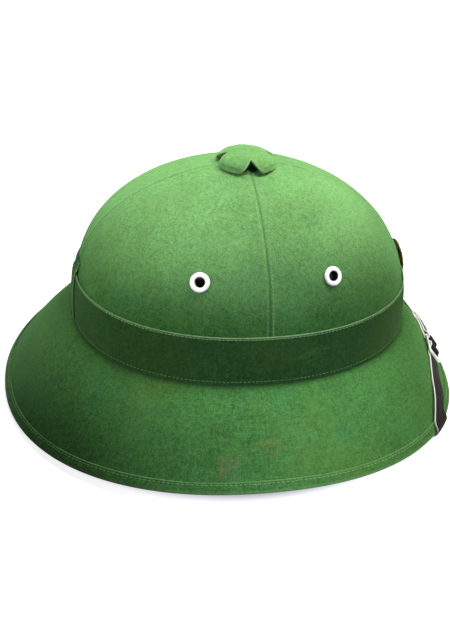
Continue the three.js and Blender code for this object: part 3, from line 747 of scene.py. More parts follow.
def badge_disc(finish):
    """Plain domed disc lying over the top border of the band at the front."""
    radius = BADGE_DIAMETER / 2
    rim = radius - BADGE_THICKNESS
    outline = [[0, 0], [radius, 0], [radius, BADGE_THICKNESS * 0.6], [radius - 0.5, BADGE_THICKNESS],
               [rim, BADGE_THICKNESS], [rim - 0.5, BADGE_THICKNESS - 0.45]]
    for share in np.linspace(0.92, 0, 14):
        outline.append([rim * share, BADGE_THICKNESS - 0.45 + (BADGE_DOME + 0.45) * (1 - share ** 2)])
    heights = [BADGE_HEIGHT + side * BADGE_DIAMETER / 4 for side in (1, 0, -1)]
    upper, middle, lower = (np.array(crown_line(0.0, turn_at_height(height))) for height in heights)
    out, up = upper[1] - lower[1], lower[0] - upper[0]
    axis = np.array([out, 0, up]) / math.hypot(out, up)
    at = placed(0.0, *middle) + axis * (LAYER + 2 * GAP)
    piece = lathe("plain_badge", rounded(outline, 0.25, 2), at, axis, finish, sides=96)
    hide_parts("badge_disc")
    return piece


# Moulded shell

def anchor_frame(side):
    """Flat seat of the strap's riveted end, touching the underside of the brim from below."""
    radius = foot_radius(ANCHOR_ANGLE) + ANCHOR_REACH
    middle = np.array([math.cos(ANCHOR_ANGLE), side * math.sin(ANCHOR_ANGLE)]) * radius
    corner = binding_face(side * STRAP_CROSSING)[5]
    turn_end = edge_point(side * STRAP_CROSSING, *corner)
    onward = unit(turn_end[:2] - middle)

    def under(along, aside):
        x = middle[0] + along * onward[0] - aside * onward[1]
        y = middle[1] + along * onward[1] + aside * onward[0]
        return brim_point(math.atan2(y, x), math.hypot(x, y), -WALL_DEPTH)

    half = STRAP_WIDTH / 2
    along = unit(under(ANCHOR_END, 0) - under(-ANCHOR_END, 0))
    axis = unit(np.cross(along, under(0, half) - under(0, -half)))
    roof = under(0, 0)
    corners = [under(run * ANCHOR_END, aside) for run in (-1, 0, 1) for aside in (-half, 0, half)]
    depth = max(float(np.dot(roof - place, axis)) for place in corners)
    return {"at": roof - axis * depth, "axis": axis, "along": along, "across": np.cross(axis, along),
            "depth": depth}


def moulded_shell(finish, anchors):
    """Pressed board shell of crown and brim in one, seen from below."""
    angles = round_angles(288)[:, None]
    turns = even_turns(70)[::-1]
    crown = np.stack(crown_line(angles, turns), axis=-1)
    shares = np.concatenate([np.linspace(0, 1, 26)[1:], np.linspace(1.2, 2, 5)])
    brim = np.stack(brim_line(angles, shares), axis=-1)
    section = np.concatenate([crown, brim], axis=1)
    outer = offset_line(section, SHELL_OUTSIDE * -1)
    inner = offset_line(section, WALL_DEPTH * -1)
    rings = np.concatenate([outer, inner[:, ::-1]], axis=1)
    piece = loft("shell_board", placed(angles, rings[..., 0], rings[..., 1]), finish, around=True)
    holes_through(piece, [eyelet_seat(angle) for angle in EYELET_ANGLES.values()], 14)
    seats = [(anchor["at"], anchor["axis"], RIVET_SHANK / 2 + GAP) for anchor in anchors.values()]
    holes_through(piece, seats, 14)
    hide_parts("body_shell")
    return piece


# Chin strap

def rail_angle(rail):
    return STRAP_CROSSING + rail * STRAP_SKEW


def turn_start(rail):
    angle = rail_angle(rail)
    return edge_point(angle, *binding_face(angle)[0])


def strap_on_brim(run, rail, raised):
    """Point of the strap on top of the brim: run from -1 at the wearer's right edge to 1 at the
    left one, rail from -1 on the outer border of the strap to 1 on the inner."""
    middle = CROWN_LENGTH / 2 + BRIM_FRONT - STRAP_SETBACK
    slope = brim_line(0.0, brim_share(0.0, middle), 1.0)[1] - brim_line(0.0, brim_share(0.0, middle))[1]
    front = middle - rail * slope * STRAP_WIDTH / 2
    turn = turn_start(rail)
    y = run * turn[1]
    x = front - (front - turn[0]) * run ** 2
    climb = min(max((abs(run) - CLIMB_START) / (CLIMB_END - CLIMB_START), 0), 1)
    over_binding = climb ** 2 * (3 - 2 * climb) * LAYER
    return brim_point(math.atan2(y, x), math.hypot(x, y), raised + over_binding)


def strap_row(point_at):
    """Under face and upper face of the strap at its outer border, middle and inner border."""
    return [[point_at(rail, level) for rail in (-1, 0, 1)] for level in (0, STRAP_THICKNESS)]


def rows_on_brim(runs, raised):
    return [strap_row(lambda rail, extra: strap_on_brim(run, rail, raised + extra)) for run in runs]


def rows_round_edge(side):
    rows = []
    for index in range(1, 6):
        def corner(rail, extra, index=index):
            angle = side * rail_angle(rail)
            return edge_point(angle, *binding_face(angle, STRAP_CLEAR + extra)[index])
        rows.append(strap_row(corner))
    return rows


def rows_to_anchor(side, anchor):
    def anchor_row(distance):
        def point_at(rail, extra):
            inward = anchor["axis"] * (-STRAP_CLEAR - extra)
            across = anchor["across"] * (side * rail * STRAP_WIDTH / 2)
            return anchor["at"] + inward + anchor["along"] * distance + across
        return strap_row(point_at)

    start = np.array(rows_round_edge(side)[-1])
    end = np.array(anchor_row(ANCHOR_END))
    between = [start + (end - start) * share for share in (0.12, 0.3, 0.5, 0.7, 0.88)]
    return [*between, end, anchor_row(0), anchor_row(-ANCHOR_END)]


def slide_frame():
    turn = turn_start(0)
    run = -SLIDE_PLACE / turn[1]
    reach = SLIDE_LENGTH / 2 / turn[1]
    along = unit(strap_on_brim(run - reach, 0, 0) - strap_on_brim(run + reach, 0, 0))
    across = strap_on_brim(run, 1, 0) - strap_on_brim(run, -1, 0)
    off = unit(np.cross(across, along))
    off *= math.copysign(1, off[2])
    square = unit(np.cross(along, off))
    square *= math.copysign(1, np.dot(square, across))
    return {"at": strap_on_brim(run, 0, 0), "along": along, "across": square, "off": off, "run": run,
            "per_length": 1 / turn[1]}


BAR_PLACE = (SLIDE_LENGTH - SLIDE_BAR) / 2
UNDER_BAR = STRAP_CLEAR + STRAP_THICKNESS / 2
BAR_BOTTOM = STRAP_CLEAR + STRAP_THICKNESS + GAP
OVER_BAR = BAR_BOTTOM + SLIDE_THICKNESS + GAP + STRAP_THICKNESS / 2


def rows_at_slide(slide, line):
    """Rows that follow places along the strap and heights of its middle in the slide's frame."""
    line = np.array(line)
    rows = []
    for index, point in enumerate(line):
        step = line[min(index + 1, len(line) - 1)] - line[max(index - 1, 0)]
        normal = np.array([-step[1], step[0]]) / np.linalg.norm(step)

        def point_at(rail, extra, point=point, normal=normal):
            along, height = point + normal * (extra - STRAP_THICKNESS / 2)
            return (slide["at"] + slide["along"] * along + slide["off"] * height
                    + slide["across"] * (rail * STRAP_WIDTH / 2))
        rows.append(strap_row(point_at))
    return rows


def flipped(rows):
    return [row[::-1] for row in rows]


def smooth_rows(rows, spacing):
    """Rows drawn through the given ones on smooth curves, evenly spaced along the strap."""
    rows = np.array([np.array(row) for row in rows])
    middle = rows.mean(axis=(1, 2))
    length = way_along(middle)
    flat = rows.reshape(len(rows), -1)
    tangent = np.gradient(flat, length, axis=0)
    places = np.linspace(0, length[-1], int(length[-1] / spacing) + 2)
    index = np.clip(np.searchsorted(length, places) - 1, 0, len(length) - 2)
    gap = (length[index + 1] - length[index])[:, None]
    t = ((places - length[index]) / (length[index + 1] - length[index]))[:, None]
    smooth = ((2 * t ** 3 - 3 * t ** 2 + 1) * flat[index] + (t ** 3 - 2 * t ** 2 + t) * gap * tangent[index]
              + (3 * t ** 2 - 2 * t ** 3) * flat[index + 1] + (t ** 3 - t ** 2) * gap * tangent[index + 1])
    return smooth.reshape(-1, 2, 3, 3), places


def strap_piece(name, rows, finish):
    """Leather strap with slightly rounded borders; edge marks its pale cut sides."""
    rows, places = smooth_rows(rows, 1.5)
    border = np.array([[1, 0.5], [1, 0.8], [0.985, 0.94], [0.955, 1], [0.8, 1], [0.7, 1.03], [0.35, 1.05]])
    upper = np.concatenate([border * [-1, 1], [[0, 1.05]], border[::-1]])
    lower = np.stack([upper[:, 0], 1 - upper[:, 1]], axis=1)[::-1]
    ring = np.concatenate([upper, lower])
    rail, level = ring[:, 0], ring[:, 1]
    weights = np.stack([rail * (rail - 1) / 2, 1 - rail ** 2, rail * (rail + 1) / 2], axis=1)
    faces = np.einsum("rlcx,kc->rklx", rows, weights)
    rings = faces[:, :, 0] * (1 - level)[:, None] + faces[:, :, 1] * level[:, None]
    edge = np.broadcast_to((np.abs(rail) > 0.98) * 1.0, rings.shape[:2]).copy()
    edge[[0, -1]] = 1
    piece = loft(name, rings, finish, marks={"edge": edge})
    lay_strap(piece, rings, places, rail)
    return piece


def lay_strap(piece, rings, places, rail):
    """UV of the strap: along it and across it from its middle."""
    known = {}
    across = rings.shape[1]
    for index, place in enumerate(in_metres(rings.reshape(-1, 3))):
        known.setdefault(tuple(np.round(place, 5)), index)
    found = [known.get(tuple(np.round(place, 5)), 0) for place in vertex_places(piece)]
    along = np.array([places[index // across] for index in found]) * 0.001
    side = np.array([rail[index % across] for index in found]) * STRAP_WIDTH / 2 * 0.001
    set_cloth_map(piece, along, side)


def short_strap(finish, anchor, slide):
    """Right part: rivet, edge, up under the slide's lower bar and over its middle bar."""
    half = SLIDE_BAR / 2
    clear = GAP + STRAP_THICKNESS / 2
    middle = (UNDER_BAR + OVER_BAR) / 2
    line = [
        [BAR_PLACE + half + SLIDE_APPROACH / 4, UNDER_BAR],
        [BAR_PLACE - half - clear, UNDER_BAR],
        [BAR_PLACE - half - 2 * clear, UNDER_BAR + clear],
        [half + 2.5 * clear, middle],
        [half + clear, OVER_BAR - clear / 2],
        [half, OVER_BAR],
        [-half, OVER_BAR],
        [-half - clear, OVER_BAR - clear / 2],
        [-half - 2 * clear, middle],
        [-half - 2.3 * clear, UNDER_BAR],
    ]
    last = slide["run"] - slide["per_length"] * (BAR_PLACE + half + SLIDE_APPROACH)
    rows = [*rows_to_anchor(-1, anchor)[::-1], *rows_round_edge(-1)[::-1],
            *rows_on_brim(np.linspace(-LAST_ON_BRIM, last, 16), STRAP_CLEAR),
            *flipped(rows_at_slide(slide, line))]
    piece = strap_piece("strap_leather_short", rows, finish)
    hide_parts("chin_strap_short")
    return piece


def long_strap(finish, anchor, slide):
    """Left part: doubled back round the slide's upper bar, across the front, to its rivet."""
    half = SLIDE_BAR / 2
    clear = GAP + STRAP_THICKNESS / 2
    leave = slide["run"] + slide["per_length"] * (BAR_PLACE + SLIDE_APPROACH)
    doubled = slide["run"] + slide["per_length"] * (BAR_PLACE + STRAP_DOUBLING)
    line = [
        [-BAR_PLACE - half, OVER_BAR],
        [-BAR_PLACE + half, OVER_BAR],
        [-BAR_PLACE + half + 0.8 * clear, OVER_BAR - clear / 2],
        [-BAR_PLACE + half + clear, (UNDER_BAR + OVER_BAR) / 2],
        [-BAR_PLACE + half + 0.8 * clear, UNDER_BAR + clear / 2],
        [-BAR_PLACE + half, UNDER_BAR],
        [-BAR_PLACE - half, UNDER_BAR],
    ]
    on_top = STRAP_CLEAR + STRAP_THICKNESS + GAP
    rows = [*rows_on_brim(np.linspace(doubled, leave, 8), on_top), *rows_at_slide(slide, line),
            *flipped(rows_on_brim(np.linspace(leave, LAST_ON_BRIM, 50), STRAP_CLEAR)),
            *flipped(rows_round_edge(1)), *flipped(rows_to_anchor(1, anchor))]
    piece = strap_piece("strap_leather_long", rows, finish)
    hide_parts("chin_strap_long")
    return piece


def strap_slide(finish, slide):
    """Flat metal slide with three bars, its borders rounded."""
    half_width = STRAP_WIDTH / 2 + SLIDE_PLAY + SLIDE_SIDE_BAR
    along = [-SLIDE_LENGTH / 2, -SLIDE_LENGTH / 2 + SLIDE_BAR, -SLIDE_BAR / 2,
             SLIDE_BAR / 2, SLIDE_LENGTH / 2 - SLIDE_BAR, SLIDE_LENGTH / 2]
    across = [-half_width, -half_width + SLIDE_SIDE_BAR, half_width - SLIDE_SIDE_BAR, half_width]
    work = bmesh.new()
    grid = [[work.verts.new((x, y, 0)) for y in across] for x in along]
    for i in range(5):
        for j in range(3):
            if i in (1, 3) and j == 1:
                continue
            work.faces.new((grid[i][j], grid[i + 1][j], grid[i + 1][j + 1], grid[i][j + 1]))
    raised = bmesh.ops.extrude_face_region(work, geom=work.faces[:])["geom"]
    for vertex in (item for item in raised if isinstance(item, bmesh.types.BMVert)):
        vertex.co.z = SLIDE_THICKNESS
    bmesh.ops.recalc_face_normals(work, faces=work.faces)

    def upright(edge):
        return abs(edge.verts[0].co.z - edge.verts[1].co.z) > 0.5

    def outer_corner(edge):
        co = edge.verts[0].co
        return upright(edge) and abs(co.x) > SLIDE_LENGTH / 2 - 0.01 and abs(co.y) > half_width - 0.01

    bmesh.ops.bevel(work, geom=[e for e in work.edges if outer_corner(e)], offset=2.2, segments=6,
                    affect="EDGES", profile=0.5)
    inner = [e for e in work.edges if upright(e) and len(e.link_faces) == 2
             and abs(e.verts[0].co.x) < SLIDE_LENGTH / 2 - 1 and abs(e.verts[0].co.y) < half_width - 1
             and e.calc_face_angle(0) > 1]
    bmesh.ops.bevel(work, geom=inner, offset=0.7, segments=4, affect="EDGES", profile=0.5)
    rims = [e for e in work.edges if not upright(e) and len(e.link_faces) == 2 and e.calc_face_angle(0) > 1]
    bmesh.ops.bevel(work, geom=rims, offset=0.42, segments=3, affect="EDGES", profile=0.5)
    at = slide["at"] + slide["off"] * BAR_BOTTOM
    axes = np.array([slide["along"], slide["across"], slide["off"]])
    vertices = [at + np.array(vertex.co) @ axes for vertex in work.verts]
    work.verts.index_update()
    faces = [[vertex.index for vertex in face.verts] for face in work.faces]
    work.free()
    piece = mesh_piece("slide_frame", vertices, faces, finish, sharp=45)
    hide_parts("strap_slide")
    return piece


def rivets(finish, anchors):
    top = -STRAP_CLEAR - STRAP_THICKNESS - GAP
    head = RIVET_HEAD / 2
    for side, anchor in anchors.items():
        end = anchor["depth"] + BOARD - GAP
        dome = [(0, 1), (0.45, 0.93), (0.8, 0.72), (0.96, 0.45)]
        outline = [[head * reach, top - RIVET_HEAD_THICKNESS * drop] for reach, drop in dome]
        outline += [[head, top - 0.2], [head, top], [RIVET_SHANK / 2, top], [RIVET_SHANK / 2, end], [0, end]]
        piece = lathe(f"rivet_{side}", rounded(outline, 0.2, 2), anchor["at"], anchor["axis"], finish)
        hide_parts(f"strap_rivet_{side}")
        yield piece


# Sewing

def stitch_tree():
    """Geometry Nodes: a thread's stitches along a line, each one pressed into the cloth a little."""
    tree = bpy.data.node_groups.new("stitches_along_line", "GeometryNodeTree")
    sockets = {}
    for label, kind in (("Line", "NodeSocketGeometry"), ("Spacing", "NodeSocketFloat"),
                        ("Stitch length", "NodeSocketFloat"), ("Thread width", "NodeSocketFloat"),
                        ("Unevenness", "NodeSocketFloat"), ("Seed", "NodeSocketInt"),
                        ("Thread", "NodeSocketMaterial")):
        sockets[label] = tree.interface.new_socket(name=label, in_out="INPUT", socket_type=kind).identifier
    tree.interface.new_socket(name="Stitches", in_out="OUTPUT", socket_type="NodeSocketGeometry")

    def give(socket, value):
        if isinstance(value, bpy.types.NodeSocket):
            tree.links.new(value, socket)
        else:
            socket.default_value = value

    def node(kind, settings=None, **links):
        made = tree.nodes.new(kind)
        for key, value in (settings or {}).items():
            setattr(made, key, value)
        for key, value in links.items():
            give(next(s for s in made.inputs if s.name == key.replace("_", " ") and s.enabled), value)
        return made

    def maths(operation, *values):
        made = node("ShaderNodeMath", {"operation": operation})
        for socket, value in zip(made.inputs, values):
            give(socket, value)
        return made.outputs[0]

    given = node("NodeGroupInput").outputs
    line = node("GeometryNodeMeshToCurve", Mesh=given["Line"]).outputs["Curve"]
    points = node("GeometryNodeResampleCurve", {"mode": "LENGTH"}, Curve=line, Length=given["Spacing"])
    lift = node("GeometryNodeInputNamedAttribute", {"data_type": "FLOAT_VECTOR"}, Name="lift")
    tangent = node("GeometryNodeInputTangent").outputs["Tangent"]
    turn = node("FunctionNodeAxesToRotation", {"primary_axis": "Z", "secondary_axis": "X"},
                Primary_Axis=lift.outputs["Attribute"], Secondary_Axis=tangent).outputs["Rotation"]
    uneven = given["Unevenness"]
    chance = node("FunctionNodeRandomValue", {"data_type": "FLOAT"}, Min=maths("SUBTRACT", 1, uneven),
                  Max=maths("ADD", uneven, 1), Seed=given["Seed"]).outputs[1]
    size = node("ShaderNodeCombineXYZ", X=maths("MULTIPLY", given["Stitch length"], chance),
                Y=given["Thread width"], Z=given["Thread width"])
    ball = node("GeometryNodeMeshUVSphere", Segments=6, Rings=6, Radius=0.5).outputs["Mesh"]
    along = node("GeometryNodeTransform", Geometry=ball, Rotation=(0, QUARTER, 0)).outputs["Geometry"]
    placed_ones = node("GeometryNodeInstanceOnPoints", Points=points.outputs["Curve"], Instance=along,
                       Rotation=turn, Scale=size.outputs[0]).outputs["Instances"]
    real = node("GeometryNodeRealizeInstances", Geometry=placed_ones).outputs["Geometry"]
    smooth = node("GeometryNodeSetShadeSmooth", Geometry=real).outputs["Geometry"]
    final = node("GeometryNodeSetMaterial", Geometry=smooth, Material=given["Thread"]).outputs["Geometry"]
    tree.links.new(final, node("NodeGroupOutput").inputs["Stitches"])
    return tree, sockets


def stitch_line(points, lifts, closed=False):
    return {"points": np.asarray(points), "lifts": np.asarray(lifts), "closed": closed}


def sewn(name, lines, spacing, length, width, thread, tree, seed):
    """One piece with the stitches of several lines; sizes in millimetres."""
    group, sockets = tree
    mesh = bpy.data.meshes.new(name)
    vertices, edges, lifts = [], [], []
    for line in lines:
        start, count = len(vertices), len(line["points"])
        vertices.extend(in_metres(line["points"]).tolist())
        lifts.extend(line["lifts"].tolist())
        edges.extend((start + i, start + i + 1) for i in range(count - 1))
        if line["closed"]:
            edges.append((start + count - 1, start))
    mesh.from_pydata(vertices, edges, [])
    mesh.attributes.new("lift", "FLOAT_VECTOR", "POINT").data.foreach_set("vector", np.ravel(lifts))
    piece = bpy.data.objects.new(name, mesh)
    bpy.context.scene.collection.objects.link(piece)
    rows = piece.modifiers.new("stitches", "NODES")
    rows.node_group = group
    given = {"Spacing": spacing * 0.001, "Stitch length": length * 0.001, "Thread width": width * 0.001,
             "Unevenness": STITCH_UNEVENNESS, "Seed": seed, "Thread": thread}
    for label, value in given.items():
        rows[sockets[label]] = value
    piece.data = plain_mesh(piece)
    piece.modifiers.clear()
    bpy.data.meshes.remove(mesh)
    return piece


def crown_stitches(angles, heights, raised, closed=False):
    """Line of points on the crown with the directions off the cloth."""
    points = crown_point(angles, heights, raised)
    return stitch_line(points, crown_point(angles, heights, raised + 1) - points, closed)


def seam_stitches():
    """Topstitching on the front side of both side seams, and beside the front and back seams."""
    turns = np.linspace(turn_at_height(BAND_HEIGHT + 0.5), 1.36, 90)
    heights = CROWN_HEIGHT * np.sin(turns) ** (2 / WALL_POWER)
    sides = {0.0: 1, QUARTER: -1, math.pi: -1, -QUARTER: 1}
    lines = []
    for seam, side in sides.items():
        angles = seam + side * SEAM_STITCH_ASIDE / crown_line(seam, turn_at_height(heights))[0]
        lines.append(crown_stitches(angles, heights, 0.24))
    return lines


def band_stitches(height, raised):
    angles = round_angles(240)
    return crown_stitches(angles, height, raised + band_relief(angles, height), closed=True)


def binding_stitches(run, rise):
    angles = round_angles(300)
    points = edge_point(angles, run, rise)
    lifts = edge_point(angles, run, rise + 1) - points
    return stitch_line(points, lifts, closed=True)


def tab_stitches():
    half_angle = math.atan((TAB_WIDTH / 2 - TAB_STITCH_INSET) / foot_radius(math.pi))
    heights = np.linspace(1.5, BAND_HEIGHT - 2, 30)
    return [crown_stitches(math.pi + side * half_angle, heights, LAYER + GAP + CLOTH) for side in (-1, 1)]


# Finishes

class Level:
    """A value that runs through a finish; arithmetic on it adds Math nodes."""

    def __init__(self, finish, socket):
        self.finish = finish
        self.socket = socket

    def math(self, operation, *others):
        return self.finish.node("ShaderNodeMath", {"operation": operation}, [self, *others])

    def __add__(self, other):
        return self.math("ADD", other)

    def __mul__(self, other):
        return self.math("MULTIPLY", other)

    def __sub__(self, other):
        return self.math("SUBTRACT", other)

    def __pow__(self, other):
        return self.math("POWER", other)

    def __rsub__(self, other):
        return self.finish.node("ShaderNodeMath", {"operation": "SUBTRACT"}, [other, self])

    __radd__ = __add__
    __rmul__ = __mul__

    def limited(self):
        return self.finish.node("ShaderNodeClamp", {}, [self])

    def between(self, low, high):
        """0 below low, 1 above high and smooth in between."""
        return self.finish.node("ShaderNodeMapRange", {"interpolation_type": "SMOOTHSTEP"},
                                {"Value": self, "From Min": low, "From Max": high})


class Finish:
    """A procedural material, built on its Principled shader."""

    def __init__(self, name, **levels):
        self.material = bpy.data.materials.new(name)
        self.material.use_nodes = True
        self.tree = self.material.node_tree
        self.shader = self.tree.nodes["Principled BSDF"]
        for key, value in levels.items():
            self.shader.inputs[key.replace("_", " ")].default_value = value

    def node(self, kind, settings, values, output=0):
        """A node from its type, its settings and the values or links of its sockets, by name or order."""
        made = self.tree.nodes.new(kind)
        for key, value in settings.items():
            setattr(made, key, value)
        named = values.items() if isinstance(values, dict) else enumerate(values)
        for key, value in named:
            if isinstance(key, int):
                socket = made.inputs[key]
            else:
                socket = next(s for s in made.inputs if s.name == key and s.enabled)
            if isinstance(value, Level):
                self.tree.links.new(value.socket, socket)
            else:
                socket.default_value = value
        shown = [s for s in made.outputs if s.enabled]
        return Level(self, shown[output])

    def cloth_place(self):
        return self.node("ShaderNodeUVMap", {"uv_map": "cloth"}, {})

    def solid_place(self):
        return self.node("ShaderNodeTexCoord", {}, {}, output=3)

    def mark(self, name):
        return self.node("ShaderNodeAttribute", {"attribute_name": name}, {}, output=2)

    def stretched(self, place, scale):
        return self.node("ShaderNodeVectorMath", {"operation": "MULTIPLY"}, [place, scale])

    def noise(self, place, scale, detail=2.0, roughness=0.5):
        return self.node("ShaderNodeTexNoise", {}, {"Vector": place, "Scale": scale, "Detail": detail,
                                                    "Roughness": roughness})

    def split(self, place):
        return [self.node("ShaderNodeSeparateXYZ", {}, [place], output=i) for i in range(3)]

    def blend(self, share, first, second):
        return self.node("ShaderNodeMix", {"data_type": "RGBA", "blend_type": "MIX", "clamp_factor": True},
                         {"Factor": share, "A": first, "B": second})

    def relief(self, height, distance, strength=1.0):
        bump = self.node("ShaderNodeBump", {}, {"Height": height, "Distance": distance, "Strength": strength})
        self.link("Normal", bump)

    def link(self, name, level):
        self.tree.links.new(level.socket, self.shader.inputs[name])


def colour(red, green, blue):
    return (red, green, blue, 1.0)


def weave(finish, pitch):
    """Height of a plain weave with uneven threads, laid along the cloth's UV; and its thread streaks."""
    place = finish.cloth_place()
    drift = finish.noise(place, 90, 1)
    u, v, _ = finish.split(place)
    turns = 2 * math.pi / pitch
    warp = (u * turns + drift * 1.6).math("SINE")
    weft = (v * turns + drift * 1.6).math("SINE")
    threads = warp * weft * 0.5 + 0.5
    streaks_along = finish.noise(finish.stretched(place, (90, 1500, 1)), 1, 2)
    streaks_across = finish.noise(finish.stretched(place, (1500, 90, 1)), 1, 2)
    return threads, streaks_along * 0.5 + streaks_across * 0.5


def shade(tint, level):
    return colour(*(min(part * level, 1) for part in tint[:3]))


def cloth_finish(name, dyed, wear_and_highlight_colour, painted_top_light=None, stains=(), sheen=0.4):
    """Dyed woven cloth: weave, uneven threads, fibre speckle, slow changes of tone, wear and stains,
    with a painted highlight on folded edges and painted shade at the brim's foot beside the band.

    Where a painted top light colour is given, the cloth turns to it between two heights: painted light
    and shade, lighter and paler towards the top of the crown and darker low down.
    """
    finish = Finish(name, Roughness=0.92, Sheen_Weight=sheen, Sheen_Roughness=0.4, Specular_IOR_Level=0.06)
    finish.shader.inputs["Sheen Tint"].default_value = colour(0.42, 1.0, 0.32)
    threads, streaks = weave(finish, 0.00062)
    solid = finish.solid_place()
    speckle = finish.noise(solid, 1150, 2, 0.65)
    grain = finish.noise(solid, 420, 3, 0.6)
    cloud = finish.noise(solid, 16, 3, 0.55)
    patch = finish.noise(solid, 46, 4, 0.6)
    share = 0.5
    for texture, weight in ((speckle, 2.1), (grain, 1.3), (streaks, 1.3), (threads, 0.22), (cloud, 0.6),
                            (patch, 0.45)):
        share = share + (texture - 0.5) * weight
    share = share.limited()
    base = finish.blend(share, shade(dyed, 0.5), shade(dyed, 1.5))
    x, y, z = finish.split(solid)
    # Painted light and shade: the cloth turns lighter and paler with height towards the crown's top, and
    # stays dark low on the walls.
    if painted_top_light:
        top_light_share = (z + (cloud - 0.5) * 0.03).between(0.085, 0.15)
        base = finish.blend(top_light_share, base, finish.blend(share, shade(painted_top_light, 0.66), shade(painted_top_light, 1.34)))
    warm = finish.noise(solid, 21, 2, 0.5).between(0.5, 0.75)
    base = finish.blend(warm * 0.22, base, colour(dyed[0] * 2.4, dyed[1] * 1.25, dyed[2] * 0.7))
    cool = finish.noise(solid, 33, 2, 0.5).between(0.5, 0.75)
    base = finish.blend(cool * 0.22, base, colour(dyed[0] * 0.8, dyed[1] * 1.1, dyed[2] * 2.4))
    # Wear, and the painted highlight on folded edges, both lighten the cloth.
    wear_and_highlight = (finish.mark("wear_and_fold_highlight") * (0.35 + grain * 1.1)).limited()
    base = finish.blend(wear_and_highlight * 0.75, base, wear_and_highlight_colour)
    # Painted shade: darker where the brim meets the band's foot.
    base = finish.blend(finish.mark("painted_foot_shade") * 0.9, base, shade(dyed, 0.18))
    for stain in stains:
        away = ((x - stain["x"]) * (1 / stain["long"])) ** 2 + ((y - stain["y"]) * (1 / stain["wide"])) ** 2
        smudge = finish.noise(solid, stain["grain"], 4, 0.7).between(0.42, 0.66)
        mask = (1 - away.math("SQRT")).between(0, 0.7) * smudge * stain["strength"]
        base = finish.blend(mask, base, stain["colour"])
    finish.link("Base Color", base)
    finish.link("Roughness", 0.86 + (speckle - 0.5) * 0.2)
    height = threads * 0.45 + streaks * 0.55 + speckle * 0.5 + grain * 0.35
    finish.relief(height, 0.00026, 0.75)
    return finish.material


def thread_finish(name, tint):
    finish = Finish(name, Roughness=0.7, Sheen_Weight=0.2)
    solid = finish.solid_place()
    twist = finish.noise(finish.stretched(solid, (2600, 2600, 1400)), 1, 1)
    dark = colour(*(level * 0.72 for level in tint[:3]))
    finish.link("Base Color", finish.blend(twist.between(0.35, 0.65), dark, tint))
    finish.relief(twist, 0.0001, 0.6)
    return finish.material


def leather_finish(name):
    """Black coated leather with a fine pebble grain, scuffs and pale raw cut edges."""
    finish = Finish(name, Specular_IOR_Level=0.03)
    place = finish.cloth_place()
    solid = finish.solid_place()
    pebbles = finish.node("ShaderNodeTexVoronoi", {"feature": "SMOOTH_F1"}, {"Vector": solid, "Scale": 1500})
    mottle = finish.noise(solid, 260, 4, 0.6)
    scuffs = finish.noise(finish.stretched(place, (120, 1300, 1)), 1, 3).between(0.55, 0.75)
    face = finish.blend(mottle, colour(0.006, 0.005, 0.005), colour(0.020, 0.017, 0.016))
    face = finish.blend(scuffs * 0.3, face, colour(0.06, 0.048, 0.045))
    fibres = finish.noise(solid, 2200, 2)
    raw = finish.blend(fibres, colour(0.62, 0.6, 0.56), colour(0.86, 0.85, 0.82))
    cut = finish.mark("edge").between(0.35, 0.65)
    finish.link("Base Color", finish.blend(cut, face, raw))
    finish.link("Roughness", 0.5 + mottle * 0.16 + cut * 0.3)
    finish.relief(pebbles * (1 - cut) + fibres * cut * 0.8, 0.00012, 0.5)
    return finish.material


def enamel_finish(name):
    """White enamel on pressed metal, a little dirty and chipped; the barrel's inside is painted near-black as
    painted shade in the hole.
    """
    finish = Finish(name, Coat_Weight=0.5, Coat_Roughness=0.12)
    solid = finish.solid_place()
    dirt = finish.noise(solid, 520, 3, 0.6).between(0.55, 0.8)
    chips = finish.noise(solid, 1100, 2, 0.5).between(0.7, 0.73)
    base = finish.blend(dirt * 0.4, colour(0.84, 0.85, 0.83), colour(0.55, 0.57, 0.5))
    base = finish.blend(chips * 0.6, base, colour(0.25, 0.25, 0.23))
    # Painted shade: the inside of the barrel is near-black.
    base = finish.blend(finish.mark("inside").between(0.3, 0.9), base, colour(0.012, 0.012, 0.01))
    finish.link("Base Color", base)
    finish.link("Roughness", 0.28 + dirt * 0.3)
    finish.relief(1 - chips, 0.00008, 0.5)
    return finish.material


def metal_finish(name, bright, dull, roughness, tarnish=0.3):
    """Plated metal with fine scratches and cloudy tarnish."""
    finish = Finish(name, Metallic=1.0)
    solid = finish.solid_place()
    cloud = finish.noise(solid, 260, 4, 0.65)
    scratches = finish.noise(finish.stretched(solid, (300, 2600, 2600)), 1, 2)
    base = finish.blend(cloud.between(0.4, 0.7) * tarnish, bright, dull)
    finish.link("Base Color", base)
    finish.link("Roughness", roughness + cloud * 0.14 + scratches * 0.1)
    finish.relief(scratches * 0.6 + cloud * 0.4, 0.00005, 0.4)
    return finish.material


def badge_finish(name):
    """Old brass: a rubbed dome with dark patina towards its rim."""
    finish = Finish(name, Metallic=1.0)
    solid = finish.solid_place()
    x, y, z = finish.split(solid)
    cloud = finish.noise(solid, 190, 4, 0.65)
    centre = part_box("badge_disc")
    middle_y = (centre[0][1] + centre[1][1]) / 2
    middle_z = (centre[0][2] + centre[1][2]) / 2
    away = (((y - middle_y) ** 2 + (z - middle_z) ** 2).math("SQRT")) * (1 / 0.0122)
    patina = (away.between(0.72, 0.98) * 0.85 + cloud.between(0.5, 0.8) * 0.4).limited()
    base = finish.blend(patina, colour(0.55, 0.42, 0.19), colour(0.03, 0.024, 0.014))
    finish.link("Base Color", base)
    finish.link("Roughness", 0.3 + patina * 0.35)
    finish.relief(cloud, 0.00006, 0.5)
    return finish.material


